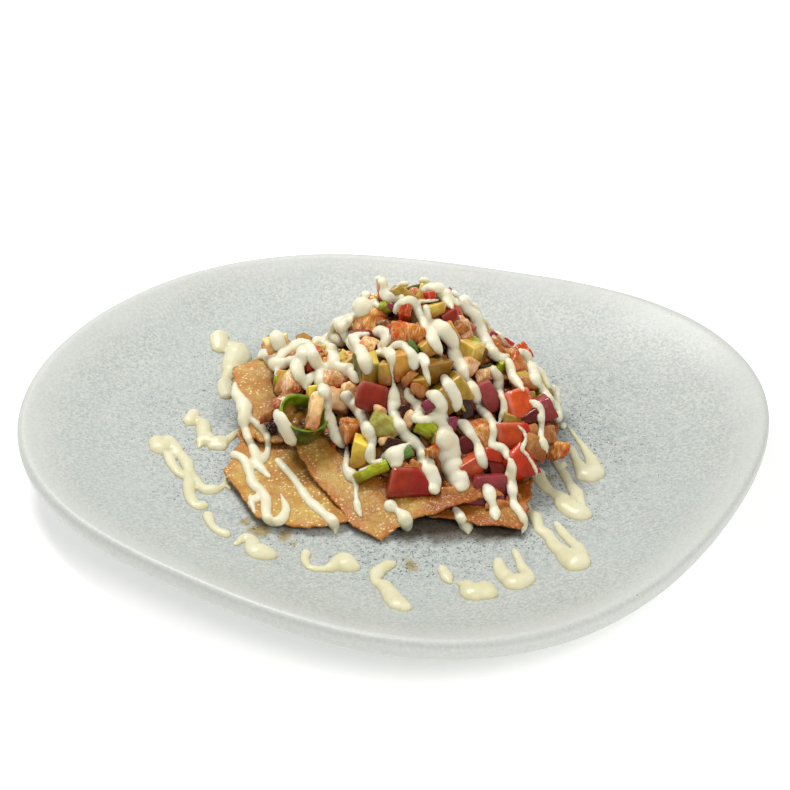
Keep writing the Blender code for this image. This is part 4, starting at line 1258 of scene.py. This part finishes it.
def vary(tint, draw):
    """A tint a little lighter or darker, and a little off in each colour."""
    shade = 1 + draw.uniform(-0.10, 0.10)
    return tuple(min(c * shade * (1 + draw.uniform(-0.04, 0.04)), 1) for c in tint)


# How a block is cut, by form: its share of the depth, its rounding, how crooked and how wavy it is, and its
# taper.
CUTS = {
    "squid": (1.0, 1.0, 0.18, 0.9, 0.0), "chip": (1.0, 1.0, 0.18, 0.9, 0.0),
    "tuna": (0.8, 0.7, 0.12, 0.4, 0.0), "tomato": (1.0, 2.6, 0.20, 0.45, 0.0),
    "wedge": (1.0, 2.2, 0.10, 0.5, -0.30), "cucumber": (1.0, 0.7, 0.15, 0.45, 0.16),
    "block": (1.0, 0.7, 0.18, 0.5, 0.0),
}
# The skin of a cut vegetable: its side, how much its border wanders, where it starts and ends, and its tint.
SKINS = {
    "tomato": (1, 0.2, 0.70, 0.85, (192, 34, 20)), "wedge": (1, 0.3, 0.0, 0.5, (150, 30, 24)),
    "cucumber": (-1, 0.0, 0.8, 0.95, (96, 104, 30)),
}


def add_cut(pieces, form, size, turn, tint, draw):
    """A knife-cut piece, with the skin or the browned edges of its kind."""
    width, height, depth = size
    deep, rounding, crook, wave, taper = CUTS[form]
    points, faces, edge = block((width, height, depth * deep), rounding, draw, crook, wave, taper)
    if form in ("squid", "chip"):
        points += np.outer(field(points * np.array([1, 0.5, 1]), 1.4, 2), (0.35, 0.1, 0.35))
        pieces.add("squid", points, faces, turn, tint, skin=edge * 0.5)
    elif form == "tuna":
        pieces.add("tuna", points, faces, turn, tint, skin=edge * 0.6, skin_tint=colour(112, 30, 30))
    elif form in SKINS:
        side, wander, start, end, skin_tint = SKINS[form]
        skin = smooth(side * points[:, 0] / (width / 2) + wander * field(points, 4, 1), start, end)
        pieces.add("vegetable", points, faces, turn, tint, edge=edge, skin=skin,
                   skin_tint=colour(*skin_tint))
    else:
        pieces.add("vegetable", points, faces, turn, tint, edge=edge)


def add_piece(pieces, form, tint_name, turn, width, height, draw, stain=(1, 1, 1)):
    """One piece of a form, in millimetres, at its place."""
    tint = tuple(c * share for c, share in zip(vary(colour(*TINTS[tint_name]), draw), stain))
    depth = min(width, height) * draw.uniform(0.8, 1.0)
    if form == "shrimp":
        points, faces, skin = shrimp_form(width, height, draw)
        pieces.add("shrimp", points, faces, turn, tint, skin=skin)
    elif form in ("strip", "scallion"):
        kind, shape = ("onion", strip_form) if form == "strip" else ("scallion", scallion_form)
        points, faces = shape(width, height, draw)
        local = points if height > width else points[:, (1, 0, 2)]
        pieces.add(kind, points, faces, turn, tint, local=local)
    else:
        if form == "block" and tint_name.startswith("cucumber"):
            form = "cucumber"
        add_cut(pieces, form, (width, height, depth), turn, tint, draw)


def pepper_ring(pieces, ground):
    """The hot pepper slice at the left: a short tube that faces the viewer, with dressing in it."""
    point = ground.seen_on_mound(PEPPER_PLACE)
    facing = -sight_line(PEPPER_PLACE)
    right, up, turn = facing_turn(facing)
    tilt = Matrix.Rotation(math.radians(-32), 4, "X") @ Matrix.Rotation(math.radians(14), 4, "Y")
    turn = Matrix.Translation(point + facing * 10.0 + right * 0.4 + up * 0.4) @ turn @ tilt
    sides = 72
    profile = ((6.0, -13.5), (6.9, -12.6), (7.8, -9.0), (8.3, -4.4), (8.4, -0.6), (8.25, -0.1), (7.9, 0.0),
               (7.5, -0.1), (7.2, -0.6), (7.0, -2.8), (6.6, -5.4), (4.6, -6.2), (2.2, -5.6), (0.01, -6.0))
    steps = 3
    fine = spline_weights(len(profile), steps) @ np.array(profile)
    turns = np.linspace(0, 2 * math.pi, sides, endpoint=False)
    wobble = 1 + 0.06 * np.cos(2 * turns + 0.9) + 0.025 * np.cos(3 * turns)
    xs = fine[:, 0][:, None] * (np.cos(turns) * wobble)[None, :] * 1.08
    ys = fine[:, 0][:, None] * (np.sin(turns) * wobble)[None, :] * 1.02
    zs = np.repeat(fine[:, 1][:, None], sides, axis=1)
    points = grid_points(xs, ys, zs)
    faces = [tuple(reversed(face)) for face in grid_faces(len(fine), sides, closed=True)]
    last = (len(fine) - 1) * sides
    faces.append(tuple(last + k for k in reversed(range(sides))))
    rows = np.repeat(np.arange(len(fine)), sides) / steps
    inside = smooth(rows, 9.4, 10.4)
    points[:, 2] += inside * 0.9 * field(points, 2.4, 3)
    cut = smooth(rows, 4.4, 5.2) * (1 - inside)
    pieces.add("chilli", points, faces, turn, colour(52, 92, 16), skin=inside,
               skin_tint=colour(120, 74, 26), edge=cut)


def seen_pieces(pieces, ground):
    draw = random.Random(7)
    for row in PIECES.strip().splitlines():
        form, tint, *numbers = row.split()
        x, y, width, height, lean, yaw, out = map(int, numbers)
        point = ground.seen_on_mound((x, y))
        width = width * STEP * 0.97
        height = height * STEP * 0.97
        depth = min(width, height) * 0.9
        upright = form in ("block", "tuna") and height > 6
        if upright:
            height = max(0.7 * height, (height - 0.5 * depth) / 0.86)
        turn = piece_frame(point, -lean, yaw, depth, out, upright)
        add_piece(pieces, form, tint, turn, width, height, draw)


def pairs(text):
    """The forms and tints of a text."""
    return [tuple(pair.split()) for pair in text.split(",")]


def hidden_pieces(pieces):
    """The frame's rows of pieces round the back."""
    draw = random.Random(21)
    shape = random.Random(9)
    kinds = pairs("block cucumber, block cucumber_shade, tomato tomato, tomato tomato_red, squid squid, "
                  "squid squid_brown, block mango, block gold")
    for i in range(HIDDEN_PIECES):
        turn = HIDDEN_FROM + (HIDDEN_TO - HIDDEN_FROM) * (i + 0.5) / HIDDEN_PIECES
        place = around(turn, HIDDEN_ROWS[i % len(HIDDEN_ROWS)] + draw.uniform(-0.06, 0.06))
        kind = draw.choice(("dice", "dice", "curl", "slab"))
        width = draw.uniform(*HIDDEN_SIZE)
        height = draw.uniform(*HIDDEN_SIZE)
        lean = draw.uniform(-60, 60)
        form, tint = shape.choice(kinds)
        if kind == "curl":
            form, tint = "shrimp", shape.choice(("shrimp", "shrimp_warm", "shrimp_brown"))
        elif kind == "slab":
            form, tint = shape.choice((("tuna", "tuna"), ("scallion", "scallion")))
        matrix = mound_frame(place, lean, 0.42 * min(width, height))
        add_piece(pieces, form, tint, matrix, width, height, shape)


def mound_frame(place, lean, sink):
    """A turn whose upper side lies in the mounds' form, sunk by a depth."""
    normal = mound_normal(place.x, place.y)
    right = (Vector((1, 0, 0)) - normal * normal.x).normalized()
    turn = turn_to(right, normal.cross(right), normal)
    middle = Vector((place.x, place.y, mound_height(place.x, place.y))) - normal * sink
    return Matrix.Translation(middle) @ turn @ Matrix.Rotation(math.radians(lean), 4, "Z")


def filler_bits(pieces, ground):
    """Small bits in the dressing between the larger pieces, all round."""
    draw = random.Random(33)
    kinds = pairs("squid squid_brown, squid squid_brown, squid squid, shrimp shrimp_brown, "
                  "shrimp shrimp_warm, block cucumber_shade, block maroon, block tomato_dark, "
                  "block gold, block olive, chip chip, shrimp shrimp")
    for i in range(FILLER_BITS):
        place = around(i * FILLER_TURN, math.sqrt((i + 0.5) / FILLER_BITS) * 0.97)
        form, tint = draw.choice(kinds)
        width = draw.uniform(4.5, 7.0)
        height = draw.uniform(5.0, 9.0)
        front = mound_normal(place.x, place.y).dot(SIGHT_BACK) > 0.1
        sink = draw.uniform(6.0, 8.0) if front else draw.uniform(3.0, 4.8)
        matrix = mound_frame(place, draw.uniform(-90, 90), sink)
        matrix = matrix @ Matrix.Rotation(draw.uniform(-0.5, 0.5), 4, "X")
        floor = ground.height(matrix[0][3], matrix[1][3]) + 1.5
        matrix[2][3] = max(matrix[2][3], floor)
        add_piece(pieces, form, tint, matrix, width, height, draw, FRONT_STAIN if front else BACK_STAIN)


def foot_bits(pieces, ground):
    """Pieces that have come to rest round the foot of the heap, at the sides and the back."""
    draw = random.Random(12)
    kinds = pairs("squid squid_brown, shrimp shrimp_brown, shrimp shrimp, squid squid, "
                  "block cucumber_shade, block tomato_red, shrimp shrimp_warm, block olive")
    for i in range(FOOT_BITS):
        turn = math.radians(FOOT_FROM + FOOT_SPREAD * (i + draw.uniform(0.2, 0.8)) / FOOT_BITS)
        place = around(turn, draw.uniform(0.84, 0.99))
        form, tint = draw.choice(kinds)
        width = draw.uniform(5.0, 8.0)
        height = draw.uniform(5.0, 8.5)
        rest = ground.height(place.x, place.y, 2.0) + 0.36 * min(width, height)
        turned = Matrix.Rotation(draw.uniform(-3, 3), 4, "Z")
        turned = turned @ Matrix.Rotation(draw.uniform(-0.4, 0.4), 4, "X")
        matrix = Matrix.Translation((place.x, place.y, rest)) @ turned
        add_piece(pieces, form, tint, matrix, width, height, draw, BACK_STAIN)


# --- cream --------------------------------------------------------------------------------------------

def low_ball():
    form = bmesh.new()
    bmesh.ops.create_icosphere(form, subdivisions=2, radius=1)
    points = np.array([vert.co for vert in form.verts])
    faces = np.array([[vert.index for vert in face.verts] for face in form.faces])
    form.free()
    return points, faces


def chosen_near(values, reach, choose):
    """The highest or lowest of the values in a disc round each."""
    padded = np.pad(values, reach, mode="edge")
    rows, columns = values.shape
    best = values.copy()
    for down in range(-reach, reach + 1):
        for across in range(-reach, reach + 1):
            if down * down + across * across <= reach * reach + 1:
                part = padded[reach + down:reach + down + rows, reach + across:reach + across + columns]
                best = choose(best, part)
    return best


class Drape:
    """How far away the ground is in each step of the view, eased over narrow gaps as thick cream would."""

    def __init__(self, ground, view, reach, held=True):
        self.left, self.top, right, bottom = view
        depth = np.array([[ground.distance((x, y)) for x in range(self.left, right)]
                          for y in range(self.top, bottom)])
        spots = np.array([[EYE + sight_line((x, y)) * float(depth[y - self.top, x - self.left])
                           for x in range(self.left, right)] for y in range(self.top, bottom)])
        behind = (spots[..., 1] > HEAP_MIDDLE.y) & (spots[..., 2] < PLATE_TOP) | (spots[..., 1] > HEAP_BACK)
        behind &= held
        self.behind = chosen_near(behind.astype(float), 2, np.maximum) > 0.5
        bridged = chosen_near(chosen_near(depth, reach, np.minimum), reach, np.maximum)
        for _ in range(2):
            padded = np.pad(bridged, 1, mode="edge")
            bridged = (padded[1:-1, 1:-1] * 2 + padded[:-2, 1:-1] + padded[2:, 1:-1]
                       + padded[1:-1, :-2] + padded[1:-1, 2:]) / 6
        self.depth = bridged

    def at(self, x, y):
        rows, columns = self.depth.shape
        u = min(max(x - self.left, 0), columns - 1.001)
        v = min(max(y - self.top, 0), rows - 1.001)
        i, j = int(v), int(u)
        a, b = v - i, u - j
        return ((self.depth[i, j] * (1 - b) + self.depth[i, j + 1] * b) * (1 - a)
                + (self.depth[i + 1, j] * (1 - b) + self.depth[i + 1, j + 1] * b) * a)

    def point(self, x, y, depth=None):
        return EYE + sight_line((x, y)) * (self.at(x, y) if depth is None else depth)

    def hold(self, line):
        """Draws a line in where it would fall on the plate behind the heap, or ends it if it is far off."""
        rows, columns = np.nonzero(~self.behind)
        kept = []
        for x, y, width in line:
            away = np.hypot(columns + self.left - x, rows + self.top - y)
            nearest = int(np.argmin(away))
            if away[nearest] < 1:
                kept.append((x, y, width))
            elif away[nearest] < HOLD_REACH:
                kept.append((columns[nearest] + self.left, rows[nearest] + self.top, width))
        return np.array(kept)

    def facing(self, x, y):
        """The way the eased ground faces, turned a little to the viewer."""
        across = self.point(x + 2, y) - self.point(x - 2, y)
        up = self.point(x, y - 2) - self.point(x, y + 2)
        return (across.cross(up).normalized() - sight_line((x, y)) * 0.5).normalized()


def strands_of(text):
    """The strands of a text, each as rows of across, down and width."""
    return [[[float(number) for number in place.split()] for place in run.split(",")]
            for run in text.split(";")]


def strand(places, drape, afloat, seed):
    """Balls along a strand laid on a drape, as point, facing and radius.

    Where the ground drops away the strand comes down at a slope, at most afloat in front of the ground.
    """
    line = drape.hold(even_line(places, CREAM_STEP))
    if not len(line):
        return []
    depths = np.array([drape.at(x, y) for x, y, _ in line])
    steps = np.arange(len(line)) * CREAM_STEP * STEP
    hung = np.min(depths[None, :] + 1.4 * np.abs(steps[None, :] - steps[:, None]), axis=1)
    depths = np.maximum(hung, depths - afloat)
    sides = np.gradient(line[:, :2], axis=0) if len(line) > 1 else np.array([[1.0, 0.0]])
    sides /= np.maximum(np.linalg.norm(sides, axis=1)[:, None], 1e-6)
    balls = []
    last = None
    for k, (x, y, width) in enumerate(line):
        wander = noise.noise(Vector((k * CREAM_STEP / 9, seed, 0))) * 0.20
        wander += noise.noise(Vector((k * CREAM_STEP / 4, seed, 9))) * 0.10
        radius = width * STEP / 2 * (1 + wander)
        facing = drape.facing(x, y)
        middle = drape.point(x, y, depths[k]) + facing * 0.14 * radius
        balls.append((middle, facing, radius * 0.96))
        if last is not None and 0.9 < (middle - last).length < 9:
            count = int((middle - last).length / 0.6)
            balls += [(last.lerp(middle, m / count), facing, radius * 0.85) for m in range(1, count)]
        last = middle
        if radius > DOUBLED_FROM:
            for sign in (-1, 1):
                offset = sign * 0.36 * radius / STEP
                dx = x - sides[k, 1] * offset
                dy = y + sides[k, 0] * offset
                depth = min(max(drape.at(dx, dy), depths[k] - 0.6), depths[k] + 0.9)
                balls.append((drape.point(dx, dy, depth) + facing * 0.08 * radius, facing, radius * 0.74))
    return balls


def laid(text, drape, afloat, seed=0):
    """All strands of a text, laid on a drape."""
    return [strand(places, drape, afloat, seed + k) for k, places in enumerate(strands_of(text))]


def melted(name, form):
    """Balls melted into one smooth body."""
    mesh = bpy.data.meshes.new(name)
    mesh.from_pydata(np.concatenate(form.points).tolist(), [], form.faces)
    piece = add_object(name, mesh)
    remesh = piece.modifiers.new("melt", "REMESH")
    remesh.mode = "VOXEL"
    remesh.voxel_size = CREAM_CELL
    ease = piece.modifiers.new("ease", "SMOOTH")
    ease.factor = 0.5
    ease.iterations = 8
    bpy.context.view_layer.update()
    shown = piece.evaluated_get(bpy.context.evaluated_depsgraph_get())
    body = bpy.data.meshes.new_from_object(shown)
    bpy.data.objects.remove(piece)
    return body


def cream_mesh(name, strands, yellow, ground, flat_at=0.0):
    """Melts balls along the strands into one body. Wide balls are flatter by flat_at a millimetre."""
    ball_points, ball_faces = low_ball()
    form = Form()
    for balls in strands:
        for point, facing, radius in balls:
            flatness = min(max(0.66 - flat_at * radius, 0.40), 0.66)
            facing = np.array(facing)
            squashed = ball_points - (1 - flatness) * np.outer(ball_points @ facing, facing)
            form.add(squashed * radius + np.array(point), ball_faces)
    body = melted(name, form)
    points = np.zeros(len(body.vertices) * 3)
    body.vertices.foreach_get("co", points)
    points = points.reshape(-1, 3)
    normals = np.array([vert.normal for vert in body.vertices])
    points += normals * (0.10 * field(points, 3.2, 1) + 0.24)[:, None]
    above = np.array([min(tree.find_nearest(Vector(point))[3] for tree in ground.trees) for point in points])
    layer = body.attributes.new("thin", "FLOAT", "POINT")
    layer.data.foreach_set("value", (1 - smooth(above, 0.15, 1.1)).astype(np.float32))
    body.vertices.foreach_set("co", (points * MM).ravel())
    body.shade_smooth()
    body.update()
    return show(name, body, cream_material(name, yellow))


def back_strands(ground):
    """Cream that wanders from the top down the back."""
    draw = random.Random(5)
    strands = []
    for i in range(BACK_RUNS):
        turn = math.radians(BACK_FROM + BACK_SPREAD * i / (BACK_RUNS - 1))
        places = []
        for share in (0.5, 0.6, 0.7, 0.8, 0.92):
            place = around(turn + draw.uniform(-0.16, 0.16), share)
            places.append((place.x, place.y))
        line = even_line(places, 0.6)
        heights = np.array([ground.height(x, y, 2.0) for x, y in line])
        heights = np.convolve(np.pad(heights, 3, mode="edge"), np.ones(7) / 7, "valid")
        radius = draw.uniform(1.3, 1.9)
        balls = []
        for k, (x, y) in enumerate(line):
            swell = (1 + 0.55 * noise.noise(Vector((k * 0.16, turn, 0)))
                     + 0.25 * noise.noise(Vector((k * 0.5, turn, 4))))
            balls.append((Vector((x, y, heights[k] + 0.2)), mound_normal(x, y), radius * swell))
        strands.append(balls)
    return strands


# --- light, floor and view ------------------------------------------------------------------------------

def area_light(name, place, size, power, tint=(1, 1, 1), shines=True):
    light = bpy.data.lights.new(name, "AREA")
    light.shape = "DISK"
    light.size = size
    light.energy = power
    light.color = tint
    lamp = add_object(name, light)
    lamp.location = place
    lamp.visible_glossy = shines
    aim = Vector((0, 0, 0.02)) - lamp.location
    lamp.rotation_euler = aim.to_track_quat("-Z", "Y").to_euler()


def set_stage():
    scene = bpy.context.scene
    scene.view_settings.view_transform = "Standard"
    scene.view_settings.look = "None"
    world = bpy.data.worlds.new("studio")
    world.use_nodes = True
    sky = world.node_tree.nodes["Background"].inputs
    sky["Color"].default_value = (1, 1, 1, 1)
    sky["Strength"].default_value = 0.42
    scene.world = world
    area_light("soft_key", (-0.27, 0.42, 0.78), 0.42, 6.2, (1.0, 0.985, 0.96))
    area_light("soft_front", (0.38, -0.66, 0.78), 0.5, 4.45, (1.0, 0.98, 0.95), shines=False)
    area_light("small_top", (-0.12, -0.02, 0.95), 0.07, 0.35)
    mesh = bpy.data.meshes.new("floor")
    mesh.from_pydata([(-3, -3, 0), (3, -3, 0), (3, 3, 0), (-3, 3, 0)], [], [(0, 1, 2, 3)])
    mesh.materials.append(floor_material())
    add_object("floor", mesh)


def set_view():
    camera = bpy.data.cameras.new("front")
    camera.lens = LENS
    camera.sensor_width = SENSOR
    camera.clip_start = 0.01
    camera.clip_end = 10
    seat = add_object("front", camera)
    seat.location = EYE * MM
    seat.rotation_euler = (SIGHT_AIM - EYE).to_track_quat("-Z", "Y").to_euler()
    bpy.context.scene.camera = seat


# --- the whole dish -------------------------------------------------------------------------------------

def lay_sheets(ground, material):
    """All fried sheets, from the lowest up."""
    trees = []
    for seed, name in enumerate(SHEETS):
        trees.append(make_sheet(name, ground, material, seed * 1.7))
        ground.trees.append(frame_tree(name))
    return trees


def make_heap(ground):
    """The core and all pieces on it."""
    core = make_core(ground, dressing_material())
    pieces = Pieces()
    seen_pieces(pieces, ground)
    pepper_ring(pieces, ground)
    hidden_pieces(pieces)
    filler_bits(pieces, ground)
    foot_bits(pieces, ground)
    materials = {
        "vegetable": flesh_material("wet_vegetable", 0.25, 0.03, 0.45, 0.40),
        "shrimp": fibre_material("shrimp", 1.5, 2.2, 0.85, (204, 84, 30), 0.35),
        "squid": fibre_material("squid", 1.1, 1.8, 0.32, (190, 116, 58), 0.25),
        "tuna": flesh_material("cured_fish", 0.30, 0.12, 0.15, 0.30),
        "onion": fibre_material("red_onion", 0.8, 0.2, 0.35, (130, 40, 70), 0.30),
        "scallion": fibre_material("green_stalk", 0.6, 0.1, 0.30, (96, 120, 30), 0.20),
        "chilli": pepper_material(),
    }
    for kind, form in pieces.forms.items():
        form.make("heap_" + kind, materials[kind], "heap")
    return [core, pieces.all.tree()]


def main():
    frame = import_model()
    set_view()
    set_stage()

    cream_nodes = [name for name in frame["nodes"] if name.startswith("cream")]
    frame_ground = Ground([frame_tree(name) for name in ("plate", *cream_nodes)])
    plate_ground = Ground([make_plate(glaze_material())])
    sheet_ground = Ground(plate_ground.trees + lay_sheets(frame_ground, crisp_material()))
    heap_ground = Ground(sheet_ground.trees + make_heap(sheet_ground))

    strands = laid(HEAP_CREAM, Drape(heap_ground, FOOD_VIEW, 3), 2.2) + back_strands(heap_ground)
    cream_mesh("heap_cream", strands, 0.25, heap_ground)
    strands = laid(SHEET_CREAM, Drape(sheet_ground, FOOD_VIEW, 2), 40, 60)
    cream_mesh("sheet_cream", strands, 0.4, sheet_ground)
    strands = laid(PLATE_CREAM, Drape(plate_ground, PLATE_VIEW, 1, held=False), 1, 80)
    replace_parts(cream_mesh("plate_cream", strands, 0.8, plate_ground, 0.06), *cream_nodes)


main()
